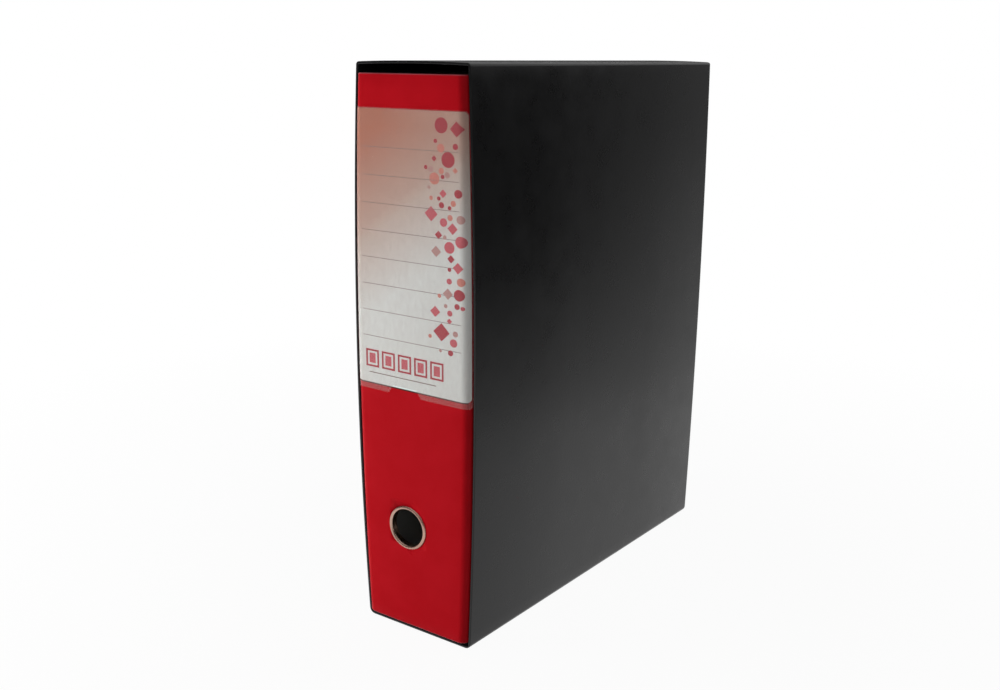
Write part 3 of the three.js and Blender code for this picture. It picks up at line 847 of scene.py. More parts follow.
@dataclass
class Slipcase:
    """The black case: a wrapped board box, open at the front."""

    walls: Walls
    rim: float = 0.5
    turn_in: float = 16.0
    paper: float = 0.15
    back_sheet_margin: float = 5.0
    inner_radius: float = 0.5
    wall_stations: tuple[float, ...] = (-40.0, 60.0)
    wall_steps: int = 48
    corner_steps: int = 6
    flat_steps: int = 8
    rim_steps: int = 4
    back_steps: int = 8

    def ring(self, inset: float, y: float) -> Ring:
        """Points round the case at one depth.

        Args:
            inset: How far the ring lies inside the outer face.
            y: Its depth.

        Returns:
            The ring.
        """
        walls = self.walls
        half = walls.width / 2 - inset
        low, high = inset, walls.height - inset
        upper = max(walls.top_radius - 2 * inset, self.inner_radius)
        lower = max(walls.bottom_radius - 2 * inset, self.inner_radius)
        outline = []
        corners = (
            (half - lower, low + lower, lower, -90.0),
            (half - upper, high - upper, upper, 0.0),
            (-half + upper, high - upper, upper, 90.0),
            (-half + lower, low + lower, lower, 180.0),
        )
        for index, (x, z, radius, start) in enumerate(corners):
            outline += arc((x, z), radius, start, start + 90.0, self.corner_steps)
            next_x, next_z, next_radius, next_start = corners[(index + 1) % 4]
            goal = arc((next_x, next_z), next_radius, next_start, next_start, 1)[0]
            steps = self.wall_steps if index % 2 == 0 else self.flat_steps
            from_x, from_z = outline[-1]
            for s in range(1, steps):
                share = s / steps
                outline.append((from_x + (goal[0] - from_x) * share, from_z + (goal[1] - from_z) * share))
        return [walls.place(x, y, z + walls.bow(x, z)) for x, z in outline]

    def stations(self) -> list[tuple[float, float, int]]:
        """Lists (inset, y, material index of the skin that follows) from the inside back to the outside back.

        Returns:
            The stations.
        """
        walls, rim = self.walls, self.rim
        lining = walls.board - self.paper
        stations = [(walls.board, walls.back - walls.board, INSIDE)]
        stations += [(walls.board, y, INSIDE) for y in reversed(self.wall_stations)]
        stations.append((walls.board, walls.mouth + self.turn_in, PAPER))
        stations.append((lining, walls.mouth + self.turn_in - self.paper, PAPER))
        rim_quarter = arc((0.0, 0.0), 1.0, 0.0, 90.0, self.rim_steps)
        for across, along in rim_quarter:
            stations.append((lining - rim * (1 - across), walls.mouth + rim * (1 - along), PAPER))
        for along, across in rim_quarter:
            stations.append((rim * (1 - across), walls.mouth + rim * (1 - along), PAPER))
        stations += [(0.0, y, PAPER) for y in self.wall_stations]
        radius = walls.back_radius
        back = walls.back - self.paper
        for along, across in arc((0.0, 0.0), 1.0, 0.0, 90.0, self.back_steps):
            stations.append((radius * (1 - along), back - radius * (1 - across), PAPER))
        margin = radius + self.back_sheet_margin
        stations.append((margin, back, PAPER))
        stations.append((margin + self.paper, walls.back, PAPER))
        return stations

    def build(self, finishes: Finishes) -> bpy.types.Object:
        """Builds and dresses the case.

        Args:
            finishes: The finishes.

        Returns:
            The piece.
        """
        stations = self.stations()
        rings = [self.ring(inset, y) for inset, y, _ in stations]
        size = len(rings[0])
        faces = skin_faces(len(rings), size)
        slots = [stations[index // size][2] for index in range(len(faces))]
        faces.append(list(range(size)))
        slots.append(INSIDE)
        faces.append([(len(rings) - 1) * size + i for i in range(size)])
        slots.append(PAPER)
        piece = make_piece("case_shell", [p for ring in rings for p in ring], faces,
                           [finishes.case_paper, finishes.case_inside], slots)
        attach(piece, Body.CASE.value)
        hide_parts("slipcase")
        return piece


@dataclass
class BinderCover:
    """The red cover: front, spine and back board in one folded sheet."""

    walls: Walls
    clearance: float = 0.15
    bulge_part: float = 0.87
    low: float = 2.1
    height: float = 341.7
    proud: float = 3.0
    spine_lift: float = 1.9
    lift_fade: float = 45.0
    depth: float = 275.0
    board: float = 2.0
    spine_radius: float = 5.2
    groove_at: float = 11.0
    groove_half: float = 2.2
    groove_depth: float = 0.8
    groove_steps: int = 8
    corner_steps: int = 12
    board_stations: tuple[float, ...] = (190.0, 110.0, 40.0)
    spine_stations: tuple[float, ...] = (26.0, 18.0, 9.0, 0.0, -9.0, -18.0, -26.0)
    fore_edge_round: tuple[tuple[float, float], ...] = ((0.0, 0.5), (0.3, 0.15), (1.0, 0.0))
    edge_round: float = 0.6
    hole_radius: float = 12.9
    hole_x: float = -4.4
    hole_z: float = 70.9
    cut_reach: float = 3.0
    levels: int = 44

    @property
    def half(self) -> float:
        """Half the width of the straight cover."""
        return self.walls.width / 2 - self.walls.board - self.clearance

    def place(self, x: float, y: float, z: float) -> Vector:
        """Moves a point of the straight cover to its real place.

        Args:
            x: X of the straight cover.
            y: Y.
            z: Z.

        Returns:
            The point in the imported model's frame.
        """
        return self.walls.place(x, y, z, self.bulge_part)

    def lift(self, y: float, z: float) -> float:
        """Height by which the spine's low edge is pulled up.

        Args:
            y: Y of the straight cover.
            z: Z.

        Returns:
            The lift, which fades to none at the top and behind the spine.
        """
        behind = max(0.0, y - self.face - self.spine_radius)
        return self.spine_lift * (self.top - z) / self.height * max(0.0, 1 - behind / self.lift_fade)

    @property
    def face(self) -> float:
        """Y of the spine's outer face."""
        return self.walls.mouth - self.proud

    @property
    def top(self) -> float:
        """Z of the cover's upper edge."""
        return self.low + self.height

    def stations(self) -> list[tuple[tuple[float, float], tuple[float, float]]]:
        """Lists (outer point, inner point) pairs from the back cover's fore edge round to the front cover's.

        Returns:
            The pairs, for the straight cover.
        """
        half, board, radius, face = self.half, self.board, self.spine_radius, self.face
        side = [(0.0, squeeze, face + self.depth - back) for back, squeeze in self.fore_edge_round]
        side += [(0.0, 0.0, face + y) for y in self.board_stations]
        for i in range(self.groove_steps + 1):
            share = 2 * i / self.groove_steps - 1
            dip = self.groove_depth * (0.5 + 0.5 * math.cos(math.pi * share))
            side.append((dip, 0.0, face + self.groove_at - share * self.groove_half))
        right = []
        for dip, squeeze, y in side:
            inner_y = max(y, face + board + 1.0)
            right.append(((half - dip - squeeze, y), (half - board + squeeze, inner_y)))
        centre = (half - radius, face + radius)
        corner, inner = (arc(centre, reach, 0.0, -90.0, self.corner_steps)
                         for reach in (radius, max(radius - board, 0.5)))
        right += list(zip(corner, inner))
        flat = [((x, face), (x, face + board)) for x in self.spine_stations]
        left = [((-ox, oy), (-ix, iy)) for (ox, oy), (ix, iy) in reversed(right)]
        return right + flat + left

    def build_sheet(self, finishes: Finishes) -> bpy.types.Object:
        """Builds the folded sheet, still without its finger hole.

        Args:
            finishes: The finishes.

        Returns:
            The sheet.
        """
        pairs = self.stations()
        count = len(pairs)
        rounding = [(0.0, self.edge_round * 0.9), (self.edge_round * 0.3, self.edge_round * 0.3),
                    (self.edge_round, 0.0)]
        heights = [(self.low + rise, squeeze) for rise, squeeze in rounding]
        span = self.height - 2 * self.edge_round
        for i in range(1, self.levels):
            heights.append((self.low + self.edge_round + span * i / self.levels, 0.0))
        heights += [(self.top - rise, squeeze) for rise, squeeze in reversed(rounding)]
        rings = []
        for z, squeeze in heights:
            share = squeeze / self.board
            outer = []
            inner = []
            for (ox, oy), (ix, iy) in pairs:
                lift = self.lift(oy, z)
                outer.append(self.place(ox + (ix - ox) * share, oy + (iy - oy) * share, z + lift))
                inner.append(self.place(ix + (ox - ix) * share, iy + (oy - iy) * share, z + lift))
            rings.append(outer + inner[::-1])
        size = 2 * count
        faces = skin_faces(len(rings), size)
        # The top and bottom edge rows and both end caps take the edge finish, a painted highlight of light caught on
        # the rounded edges
        edge_rows = len(rounding) - 1
        slots = []
        for index in range(len(faces)):
            row = index // size
            inside = count <= index % size < size - 1
            is_edge = row < edge_rows or row >= len(rings) - 1 - edge_rows
            slots.append(INSIDE if inside else EDGE if is_edge else PAPER)
        last = (len(rings) - 1) * size
        for i in range(count - 1):
            faces.append([i, i + 1, size - 2 - i, size - 1 - i])
            faces.append([last + i, last + i + 1, last + size - 2 - i, last + size - 1 - i])
            slots += [EDGE, EDGE]
        materials = [finishes.cover_paper, finishes.cover_inside, finishes.cover_edge]
        return make_piece("binder_cover", [p for ring in rings for p in ring], faces, materials, slots,
                          smooth_angle=50.0)

    def build(self, finishes: Finishes) -> bpy.types.Object:
        """Builds and dresses the cover.

        Args:
            finishes: The finishes.

        Returns:
            The piece.
        """
        piece = self.build_sheet(finishes)
        centre = self.place(self.hole_x, self.face, self.hole_z)
        near, far = -self.cut_reach, self.board + self.cut_reach
        profile = [(0.01, near), (self.hole_radius, near), (self.hole_radius, far), (0.01, far)]
        cutter = lathe_y("finger_hole_cutter", profile, centre, finishes.cover_paper, 72)
        cut = piece.modifiers.new("finger_hole", "BOOLEAN")
        cut.operation = "DIFFERENCE"
        cut.solver = "EXACT"
        cut.object = cutter
        bpy.context.view_layer.update()
        holed = bpy.data.meshes.new_from_object(piece.evaluated_get(bpy.context.evaluated_depsgraph_get()))
        piece.modifiers.clear()
        piece.data = holed
        bpy.data.objects.remove(cutter)
        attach(piece, Body.BINDER.value)
        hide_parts("cover")
        return piece

    def on_spine(self, x: float, z: float, lift: float) -> Vector:
        """Finds a point on or above the spine's outer face.

        Args:
            x: Place across the straight spine.
            z: Height.
            lift: Distance off the face.

        Returns:
            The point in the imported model's frame.
        """
        radius = self.spine_radius
        flat_half = self.half - radius
        beyond = max(0.0, abs(x) - flat_half)
        turn = math.asin(min(1.0, beyond / radius))
        out = flat_half + (radius + lift) * math.sin(turn) if beyond else abs(x)
        straight = math.copysign(out, x)
        y = self.face + radius - (radius + lift) * math.cos(turn)
        return self.place(straight, y, z)


def spread(low: float, high: float, steps: int) -> list[float]:
    """Lists evenly spaced values, both ends included."""
    return [low + (high - low) * i / steps for i in range(steps + 1)]


@dataclass
class SpineSheet:
    """A thin sheet that lies on the spine and follows its rounded edges."""

    cover: BinderCover
    name: str
    left: float
    right: float
    low: float
    high: float
    lift: float
    thickness: float
    corner: float = 1.6
    edge_width: float = 9.0
    edge_steps: int = 14
    middle_steps: int = 16
    height_steps: int = 40
    breaks: tuple[float, ...] = ()
    bottom_of: Optional[Callable[[float], float]] = None

    def ends(self, x: float) -> tuple[float, float]:
        """Lowest and highest point of the sheet at one place across it.

        Args:
            x: Place across the spine.

        Returns:
            The two heights.
        """
        from_edge = min(x - self.left, self.right - x)
        cut = 0.0
        if from_edge < self.corner:
            missing = self.corner - max(from_edge, 0.0)
            cut = self.corner - math.sqrt(max(self.corner ** 2 - missing ** 2, 0.0))
        low = self.low + cut
        if self.bottom_of is not None:
            low = max(low, self.bottom_of(x))
        return low, self.high - cut

    def columns(self) -> list[float]:
        """Places across the sheet, closer together at its rounded edges."""
        edge = self.edge_width
        places = spread(self.left, self.left + edge, self.edge_steps)
        places += spread(self.left + edge, self.right - edge, self.middle_steps)[1:]
        places += spread(self.right - edge, self.right, self.edge_steps)[1:]
        return sorted({*places, *self.breaks})

    def build(self, material: bpy.types.Material, body: Body, slot: Slot, node: str) -> bpy.types.Object:
        """Builds and dresses the sheet.

        Args:
            material: Its finish.
            body: The body that it rides on.
            slot: Not used.
            node: The CAD node that it stands for.

        Returns:
            The piece.
        """
        columns = self.columns()
        rings = []
        for lift in (self.lift, self.lift + self.thickness):
            for x in columns:
                low, high = self.ends(x)
                rings.append([self.cover.on_spine(x, z, lift) for z in spread(low, high, self.height_steps)])
        rows = self.height_steps + 1
        width = len(columns)
        faces = []
        for side in range(2):
            for c in range(width - 1):
                for r in range(rows - 1):
                    a = (side * width + c) * rows + r
                    faces.append([a, a + rows, a + rows + 1, a + 1])
        upper = width * rows
        for c in range(width - 1):
            for r in (0, rows - 1):
                a = c * rows + r
                faces.append([a, a + rows, a + rows + upper, a + upper])
        for c in (0, width - 1):
            for r in range(rows - 1):
                a = c * rows + r
                faces.append([a, a + 1, a + 1 + upper, a + upper])
        piece = make_piece(self.name, [p for ring in rings for p in ring], faces, [material])
        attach(piece, body.value)
        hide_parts(node)
        return piece


@dataclass
class SpineLabel:
    """The printed card in the spine pocket, its plain print, and a painted shadow strip under the card."""

    cover: BinderCover
    low: float = 160.6
    high: float = 324.4
    left: float = -37.4
    right: float = 38.0
    lift: float = 0.12
    thickness: float = 0.15
    ink_lift: float = 0.03
    line_count: int = 8
    first_line: float = 302.8
    line_pitch: float = 16.1
    line_width: float = 0.35
    line_steps: int = 30
    line_right: float = 33.5
    tint_low: float = 205.0
    tint_high: float = 315.0
    foot_line: tuple[float, float, float, float] = (-29.0, 17.0, 6.5, 0.6)
    box_count: int = 5
    box_size: tuple[float, float] = (9.0, 11.0)
    box_first: tuple[float, float] = (-31.0, 10.0)
    box_pitch: float = 11.0
    box_line: float = 1.2
    box_filling_gap: float = 2.4
    motif_seed: int = 11
    motif_count: int = 52
    motif_tries: int = 4000
    motif_kinds: tuple[Motif, ...] = (Motif.DISC, Motif.DISC, Motif.LOZENGE)
    motif_radii: tuple[float, ...] = (1.2, 1.7, 2.4, 3.3, 4.3, 5.4)
    motif_inks: tuple[int, ...] = (0, 0, 0, 1, 1, 2, 2, 3)
    motif_band: tuple[float, float] = (28.0, 7.0)
    motif_middle: float = 26.0
    motif_sway: float = 4.0
    motif_spread: float = 5.6
    motif_left: float = 4.0
    motif_spacing: float = 1.06
    motif_steps: int = 20
    motif_tip: float = 0.01

    def build_card(self, finishes: Finishes) -> bpy.types.Object:
        """Builds the card.

        Args:
            finishes: The finishes.

        Returns:
            The card.
        """
        sheet = SpineSheet(self.cover, "label_sheet", self.left, self.right, self.low, self.high, self.lift,
                           self.thickness)
        return sheet.build(finishes.label_card, Body.BINDER, Slot.LABEL_CARD, "spine_label")

    def point(self, x: float, z: float, layer: int = 0) -> Vector:
        """A point on the card's printed face.

        Args:
            x: Place across the spine.
            z: Height.
            layer: Higher layers lie over lower ones.

        Returns:
            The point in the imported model's frame.
        """
        return self.cover.on_spine(x, z, self.lift + self.thickness + self.ink_lift * (1 + 0.4 * layer))

    def strip(self, x0: float, x1: float, z: float, width: float) -> Print:
        """A printed line that runs across the card.

        Args:
            x0: Its left end.
            x1: Its right end.
            z: Its height.
            width: Its width.

        Returns:
            Points and faces.
        """
        places = []
        for x in spread(x0, x1, self.line_steps):
            places += [self.point(x, z - width / 2), self.point(x, z + width / 2)]
        return places, ladder_faces(self.line_steps)

    def frame_box(self, x: float, z: float, width: float, height: float, line: float) -> Print:
        """An outlined box.

        Args:
            x: Its left side.
            z: Its lower side.
            width: Its width.
            height: Its height.
            line: Width of the outline.

        Returns:
            Points and faces.
        """
        outer = [(x, z), (x + width, z), (x + width, z + height), (x, z + height)]
        inner = [(x + line, z + line), (x + width - line, z + line), (x + width - line, z + height - line),
                 (x + line, z + height - line)]
        places = [self.point(*p) for p in outer + inner]
        return places, [[i, (i + 1) % 4, (i + 1) % 4 + 4, i + 4] for i in range(4)]

    def motif(self, kind: Motif, x: float, z: float, radius: float, layer: int) -> Print:
        """One printed motif.

        Args:
            kind: Its shape.
            x: Centre across the spine.
            z: Centre height.
            radius: Its size.
            layer: Its printing layer.

        Returns:
            Points and faces.
        """
        places = []
        for i in range(self.motif_steps + 1):
            across = -math.cos(math.pi * i / self.motif_steps)
            half = 1 - abs(across) if kind is Motif.LOZENGE else math.sqrt(max(1 - across * across, 0.0))
            half = max(half, self.motif_tip)
            places += [self.point(x + radius * across, z + radius * side * half, layer) for side in (-1, 1)]
        return places, ladder_faces(self.motif_steps)

    def motifs(self) -> list[tuple[int, list[Vector], list[list[int]]]]:
        """Scatters the motifs down the right side.

        Returns:
            (ink index, points, faces) of each motif.
        """
        rng = random.Random(self.motif_seed)
        below, above = self.motif_band
        placed: list[tuple[float, float, float]] = []
        found = []
        for _ in range(self.motif_tries):
            z = rng.uniform(self.low + below, self.high - above)
            x = rng.gauss(self.motif_middle + self.motif_sway * math.sin(z / 17.0), self.motif_spread)
            radius = rng.choice(self.motif_radii)
            if x + radius > self.right - 0.8 or x - radius < self.motif_left:
                continue
            if any(math.hypot(x - px, z - pz) < (radius + pr) * self.motif_spacing for px, pz, pr in placed):
                continue
            placed.append((x, z, radius))
            ink = rng.choice(self.motif_inks)
            found.append((ink, *self.motif(rng.choice(self.motif_kinds), x, z, radius, len(placed) % 3)))
            if len(placed) == self.motif_count:
                break
        return found

    def build_print(self, finishes: Finishes) -> bpy.types.Object:
        """Builds the print on the card, and a painted shadow strip under its lower edge, as thin flat shapes.

        Args:
            finishes: The finishes.

        Returns:
            The print.
        """
        crimson, rose, grey, umber = 0, 1, len(finishes.inks), len(finishes.inks) + 1
        shapes = [(grey, *self.strip(self.left + 0.6, self.line_right, self.first_line - i * self.line_pitch,
                                     self.line_width)) for i in range(self.line_count)]
        # Painted shadow: a dark umber strip just under the card's lower edge stands in for the shadow the card casts
        shapes.append((umber, *self.strip(self.left + 1.0, self.right - 1.0, self.low - 0.4, 0.9)))
        foot_left, foot_right, foot_height, foot_width = self.foot_line
        shapes.append((grey, *self.strip(foot_left, foot_right, self.low + foot_height, foot_width)))
        width, height = self.box_size
        gap = self.box_filling_gap
        for i in range(self.box_count):
            x, z = self.box_first[0] + i * self.box_pitch, self.low + self.box_first[1]
            shapes.append((crimson, *self.frame_box(x, z, width, height, self.box_line)))
            shapes.append((rose, *self.strip(x + gap, x + width - gap, z + height / 2, height - 2 * gap)))
        shapes += self.motifs()
        places: list[Vector] = []
        faces: list[list[int]] = []
        slots: list[int] = []
        for ink, points, corners in shapes:
            start = len(places)
            places += points
            faces += [[start + c for c in face] for face in corners]
            slots += [ink] * len(corners)
        materials = [*finishes.inks, finishes.ruling, finishes.shade]
        piece = make_piece("label_print", places, faces, materials, slots)
        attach(piece, Body.BINDER.value)
        return piece


@dataclass
class LabelPocket:
    """The clear pocket over the label, with a notch for the thumb."""

    cover: BinderCover
    label: SpineLabel
    below: float = 4.0
    above: float = 0.6
    side: float = 0.3
    lift: float = 0.36
    film: float = 0.1
    notch_centre: float = -4.5
    notch_top: float = 16.0
    notch_bottom: float = 22.0
    notch_height: float = 5.0

    def bottom(self, x: float) -> float:
        """Height of the pocket's lower edge at one place across it.

        Args:
            x: Place across the spine.

        Returns:
            The height.
        """
        low = self.label.low - self.below
        away = abs(x - self.notch_centre)
        flank = (self.notch_bottom - self.notch_top) / 2
        share = min(1.0, max(0.0, (self.notch_bottom / 2 - away) / flank))
        return low + share * self.notch_height

    def build(self, finishes: Finishes) -> bpy.types.Object:
        """Builds and dresses the pocket.

        Args:
            finishes: The finishes.

        Returns:
            The piece.
        """
        near, far = self.notch_bottom / 2, self.notch_top / 2
        breaks = tuple(self.notch_centre + offset for offset in (-near, -far, far, near))
        sheet = SpineSheet(self.cover, "pocket_film", self.label.left - self.side, self.label.right + self.side,
                           self.label.low - self.below, self.label.high + self.above, self.lift, self.film,
                           breaks=breaks, bottom_of=self.bottom)
        return sheet.build(finishes.film, Body.BINDER, Slot.POCKET_FILM, "label_pocket")


@dataclass
class FingerRing:
    """The turned metal ring in the spine and the washer behind it."""

    cover: BinderCover
    bore: float = 12.0
    wall: float = 0.6
    flange: float = 2.2
    flange_thickness: float = 1.0
    lip: float = 1.3
    lip_thickness: float = 0.3
    washer: float = 3.0
    washer_thickness: float = 0.8
    washer_bevel: float = 0.2
    gap: float = 0.1

    def profile(self) -> list[tuple[float, float]]:
        """The ring's section: a rolled flange, a barrel and a lip turned over the washer.

        Returns:
            (radius, y) pairs that close.
        """
        half = self.flange / 2
        middle = self.bore + half
        rise = self.flange_thickness
        thick = self.lip_thickness
        barrel = self.bore + self.wall
        back = self.cover.board + self.gap + self.washer_thickness + self.gap
        points = [(middle - half * math.cos(math.radians(a)), -self.gap - rise * math.sin(math.radians(a)))
                  for a in range(0, 181, 12)]
        points += [(barrel, -self.gap), (barrel, back), (barrel + self.lip, back), (barrel + self.lip, back + thick)]
        points += [(self.bore + 0.8, back + 2 * thick), (self.bore, back + thick)]
        return points

    def build(self, finishes: Finishes) -> list[bpy.types.Object]:
        """Builds and dresses the ring and its washer.

        Args:
            finishes: The finishes.

        Returns:
            The two pieces.
        """
        cover = self.cover
        lean = cover.walls.skew
        centre = cover.place(cover.hole_x, cover.face, cover.hole_z)
        ring = lathe_y("finger_ring_turned", self.profile(), centre, finishes.ring, lean=lean)
        inner = self.bore + self.wall + 0.3
        near = cover.board + self.gap
        far = near + self.washer_thickness
        outer, bevel = inner + self.washer, self.washer_bevel
        washer = lathe_y("finger_washer_flat", [
            (inner, near), (outer - bevel, near), (outer, near + bevel), (outer, far - bevel),
            (outer - bevel, far), (inner, far)], centre, finishes.ring, lean=lean)
        for piece, node in ((ring, "finger_ring"), (washer, "finger_ring_washer")):
            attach(piece, Body.BINDER.value)
            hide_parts(node)
        return [ring, washer]


@dataclass
class Mechanism:
    """The lever arch mechanism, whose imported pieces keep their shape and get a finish."""

    nodes: tuple[str, ...] = (
        "base_plate", "base_rivet_1", "base_rivet_2", "base_rivet_3", "base_rivet_4", "post_upper",
        "post_lower", "arch_wire", "lever", "lever_nose_pin", "lever_pin", "compressor_bar",
        "compressor_catch", "catch_rivet")

    def build(self, finishes: Finishes, objects: dict[str, bpy.types.Object]) -> list[bpy.types.Object]:
        """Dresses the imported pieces.

        Args:
            finishes: The finishes.
            objects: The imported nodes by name.

        Returns:
            The dressed pieces.
        """
        smooth = smooth_shading_group()
        pieces = [objects[name] for name in self.nodes]
        for piece in pieces:
            piece.data.materials.clear()
            piece.data.materials.append(finishes.steel)
            shading = piece.modifiers.new("smooth", "NODES")
            shading.node_group = smooth
        return pieces


# Studio


@dataclass(frozen=True)
class Flag:
    """A card that stands on the floor and shows only in reflections, as in a photographer's tent.

    Its shade turns from dark to light across the card, over the turn's share of its length; the usual turn lies
    past its end, so that it stays dark. Dark and light each hold the level at the foot, the level above, and the
    height in millimetres over which the first fades into the second.
    """

    name: str
    start: tuple[float, float]
    end: tuple[float, float]
    height: float
    dark: tuple[float, float, float]
    light: tuple[float, float, float] = (0.0, 0.0, 1.0)
    turn: tuple[float, float] = (1.0, 2.0)

    def build(self) -> bpy.types.Object:
        """Builds the card and its shade.

        Returns:
            The card.
        """
        material = bpy.data.materials.new(self.name)
        material.use_nodes = True
        tree = material.node_tree
        tree.nodes.clear()
        graph = Graph(tree)
        place = graph.add("ShaderNodeTexCoord").outputs["UV"]
        split = graph.add("ShaderNodeSeparateXYZ")
        graph.link(place, split.inputs["Vector"])
        shade = graph.add("ShaderNodeMix")
        graph.link(graph.remap(split.outputs["X"], *self.turn, 0.0, 1.0), shade.inputs["Factor"])
        for socket, (foot, upper, fade) in (("A", self.dark), ("B", self.light)):
            end = graph.remap(split.outputs["Y"], 0.0, fade / self.height, foot, upper)
            graph.link(end, shade.inputs[socket])
        glow = graph.add("ShaderNodeEmission")
        graph.link(shade.outputs["Result"], glow.inputs["Strength"])
        leave = graph.add("ShaderNodeOutputMaterial")
        graph.link(glow.outputs["Emission"], leave.inputs["Surface"])
        near, far = Vector((*self.start, 0.0)), Vector((*self.end, 0.0))
        up = Vector((0.0, 0.0, self.height))
        card = make_piece(self.name, [near, far, far + up, near + up], [[0, 1, 2, 3]], [material])
        corners = ((0.0, 0.0), (1.0, 0.0), (1.0, 1.0), (0.0, 1.0))
        layer = card.data.uv_layers.new(name="card")
        for loop in card.data.loops:
            layer.data[loop.index].uv = corners[loop.vertex_index]
        card.visible_camera = False
        card.visible_diffuse = False
        card.visible_transmission = False
        card.visible_shadow = False
        card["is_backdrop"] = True
        return card


@dataclass(frozen=True)
class Lamp:
    """A soft square lamp that gives light but shows in no reflection."""

    name: str
    place: tuple[float, float, float]
    size: float
    power: float

    def build(self, goal: Vector) -> bpy.types.Object:
        """Hangs the lamp.

        Args:
            goal: The point that it is aimed at, in millimetres.

        Returns:
            The lamp.
        """
        data = bpy.data.lights.new(self.name, "AREA")
        data.size = self.size * MM
        data.energy = self.power
        lamp = bpy.data.objects.new(self.name, data)
        lamp.location = Vector(self.place) * MM
        lamp.visible_glossy = False
        aim = goal * MM - lamp.location
        lamp.rotation_euler = aim.to_track_quat("-Z", "Y").to_euler()
        bpy.context.scene.collection.objects.link(lamp)
        return lamp


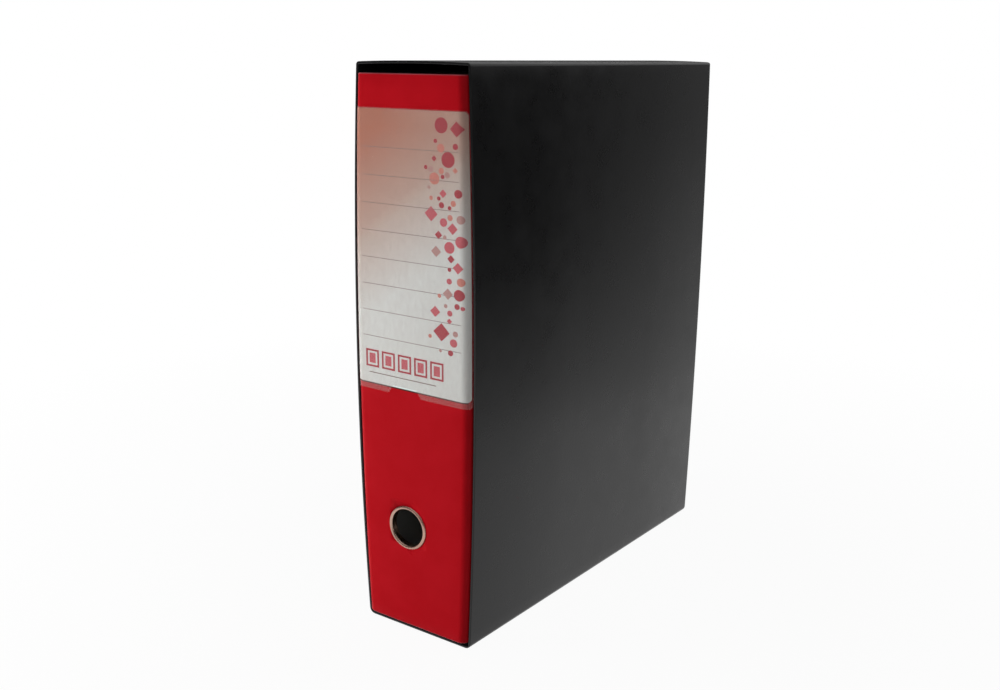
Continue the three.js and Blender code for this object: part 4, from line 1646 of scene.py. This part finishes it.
@dataclass
class Studio:
    """The floor, the lamps, the world and the camera."""

    walls: Walls
    eye: tuple[float, float, float] = (420.95, -583.44, 354.89)
    yaw: float = 38.38
    pitch: float = 15.203
    roll: float = 0.476
    focal: float = 38.617
    sensor: float = 36.0
    world_level: float = 0.22
    floor_reach: float = 6000.0
    shadow_fade: tuple[float, float] = (200.0, 700.0)
    whiteness_near: float = 0.95
    flags: tuple[Flag, ...] = (
        Flag("flag_right", (583.0, -356.0), (-40.0, 860.0), 420.0, (0.58, 0.05, 190.0), (0.75, 0.28, 300.0),
             (0.515, 0.6)),
        Flag("flag_front", (-1700.0, -300.0), (-50.0, -1900.0), 1600.0, (0.06, 0.06, 100.0)),
        Flag("flag_behind", (-50.0, -1900.0), (1500.0, -900.0), 1600.0, (0.05, 0.05, 100.0)),
        Flag("flag_back", (-2400.0, 700.0), (300.0, 2600.0), 1200.0, (0.08, 0.08, 100.0)),
    )
    lamps: tuple[Lamp, ...] = (
        Lamp("key", (-600.0, -640.0, 110.0), 300.0, 6.2),
        Lamp("fill", (1500.0, -900.0, 1100.0), 1300.0, 1.5),
        Lamp("top", (100.0, 300.0, 1900.0), 1400.0, 7.0),
    )

    def build_camera(self) -> bpy.types.Object:
        """Places the camera at the photograph's viewing angle.

        Returns:
            The camera.
        """
        yaw, pitch, roll = (math.radians(a) for a in (self.yaw, self.pitch, self.roll))
        ahead = Vector((-math.sin(yaw) * math.cos(pitch), math.cos(yaw) * math.cos(pitch), -math.sin(pitch)))
        level = Vector((math.cos(yaw), math.sin(yaw), 0.0))
        upright = level.cross(ahead)
        right = level * math.cos(roll) + upright * math.sin(roll)
        up = upright * math.cos(roll) - level * math.sin(roll)
        data = bpy.data.cameras.new("camera")
        data.lens = self.focal
        data.sensor_width = self.sensor
        data.clip_end = 50.0
        camera = bpy.data.objects.new("camera", data)
        turn = Matrix((right, up, -ahead)).transposed().to_4x4()
        camera.matrix_world = Matrix.Translation(Vector(self.eye) * MM) @ turn
        bpy.context.scene.collection.objects.link(camera)
        bpy.context.scene.camera = camera
        return camera

    def build_world(self) -> None:
        """Lights the surroundings: white where it is seen or mirrored, a plain grey elsewhere."""
        world = bpy.data.worlds.new("studio")
        world.use_nodes = True
        tree = world.node_tree
        tree.nodes.clear()
        graph = Graph(tree)
        strength = graph.remap(graph.seen_or_mirrored(), 0.0, 1.0, self.world_level, 1.0)
        background = graph.add("ShaderNodeBackground")
        graph.link(strength, background.inputs["Strength"])
        output = graph.add("ShaderNodeOutputWorld")
        graph.link(background.outputs["Background"], output.inputs["Surface"])
        background.inputs["Color"].default_value = (1.0, 1.0, 1.0, 1.0)
        bpy.context.scene.world = world

    def build_floor(self) -> bpy.types.Object:
        """Lays the pale floor, white to the camera apart from a soft shadow.

        Returns:
            The floor.
        """
        reach = self.floor_reach
        corners = [Vector((x, y, 0.0)) for x, y in ((-reach, -reach), (reach, -reach), (reach, reach),
                                                    (-reach, reach))]
        material = bpy.data.materials.new("floor")
        material.use_nodes = True
        graph = Graph(material.node_tree)
        shader = material.node_tree.nodes["Principled BSDF"]
        shader.inputs["Base Color"].default_value = (0.86, 0.86, 0.86, 1.0)
        shader.inputs["Roughness"].default_value = 0.9
        shader.inputs["Specular IOR Level"].default_value = 0.0
        glow = graph.add("ShaderNodeEmission")
        distance = graph.add("ShaderNodeVectorMath", operation="LENGTH")
        graph.link(graph.add("ShaderNodeTexCoord").outputs["Object"], distance.inputs[0])
        near, far = (reach * MM for reach in self.shadow_fade)
        whiteness = graph.remap(distance.outputs["Value"], near, far, self.whiteness_near, 1.0)
        mix = graph.add("ShaderNodeMixShader")
        graph.link(graph.work_out("MULTIPLY", graph.seen_or_mirrored(), whiteness), mix.inputs["Fac"])
        graph.link(shader.outputs["BSDF"], mix.inputs[1])
        graph.link(glow.outputs["Emission"], mix.inputs[2])
        graph.link(mix.outputs["Shader"], material.node_tree.nodes["Material Output"].inputs["Surface"])
        floor = make_piece("floor", corners, [[0, 1, 2, 3]], [material])
        floor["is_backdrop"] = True
        return floor

    def build(self) -> None:
        """Builds the whole studio."""
        self.build_camera()
        self.build_world()
        self.build_floor()
        for flag in self.flags:
            flag.build()
        for lamp in self.lamps:
            lamp.build(Vector((0.0, 0.0, self.walls.height / 2)))
        bpy.context.scene.view_settings.view_transform = "Standard"


def write_sizes() -> None:
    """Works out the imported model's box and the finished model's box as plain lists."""
    boxes = {"cad": CAD_BOX, "visual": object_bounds()}
    plain = {name: [list(map(float, corner)) for corner in box] for name, box in boxes.items()}


def main() -> None:
    """Builds the box file and its studio, piece by piece."""
    logging.basicConfig(level=logging.INFO, format="%(message)s")
    walls = Walls()
    cover = BinderCover(walls)
    label = SpineLabel(cover)
    studio = Studio(walls)
    studio.build()
    finishes = Finishes.build(label)
    pieces = [Slipcase(walls).build(finishes), cover.build(finishes), label.build_card(finishes),
              label.build_print(finishes), LabelPocket(cover, label).build(finishes)]
    pieces += FingerRing(cover).build(finishes)
    pieces += Mechanism().build(finishes, frame["nodes"])
    for piece in pieces:
        LOG.info("%s: %d faces", piece.name, len(piece.data.polygons))
    write_sizes()


if __name__ == "__main__":
    main()
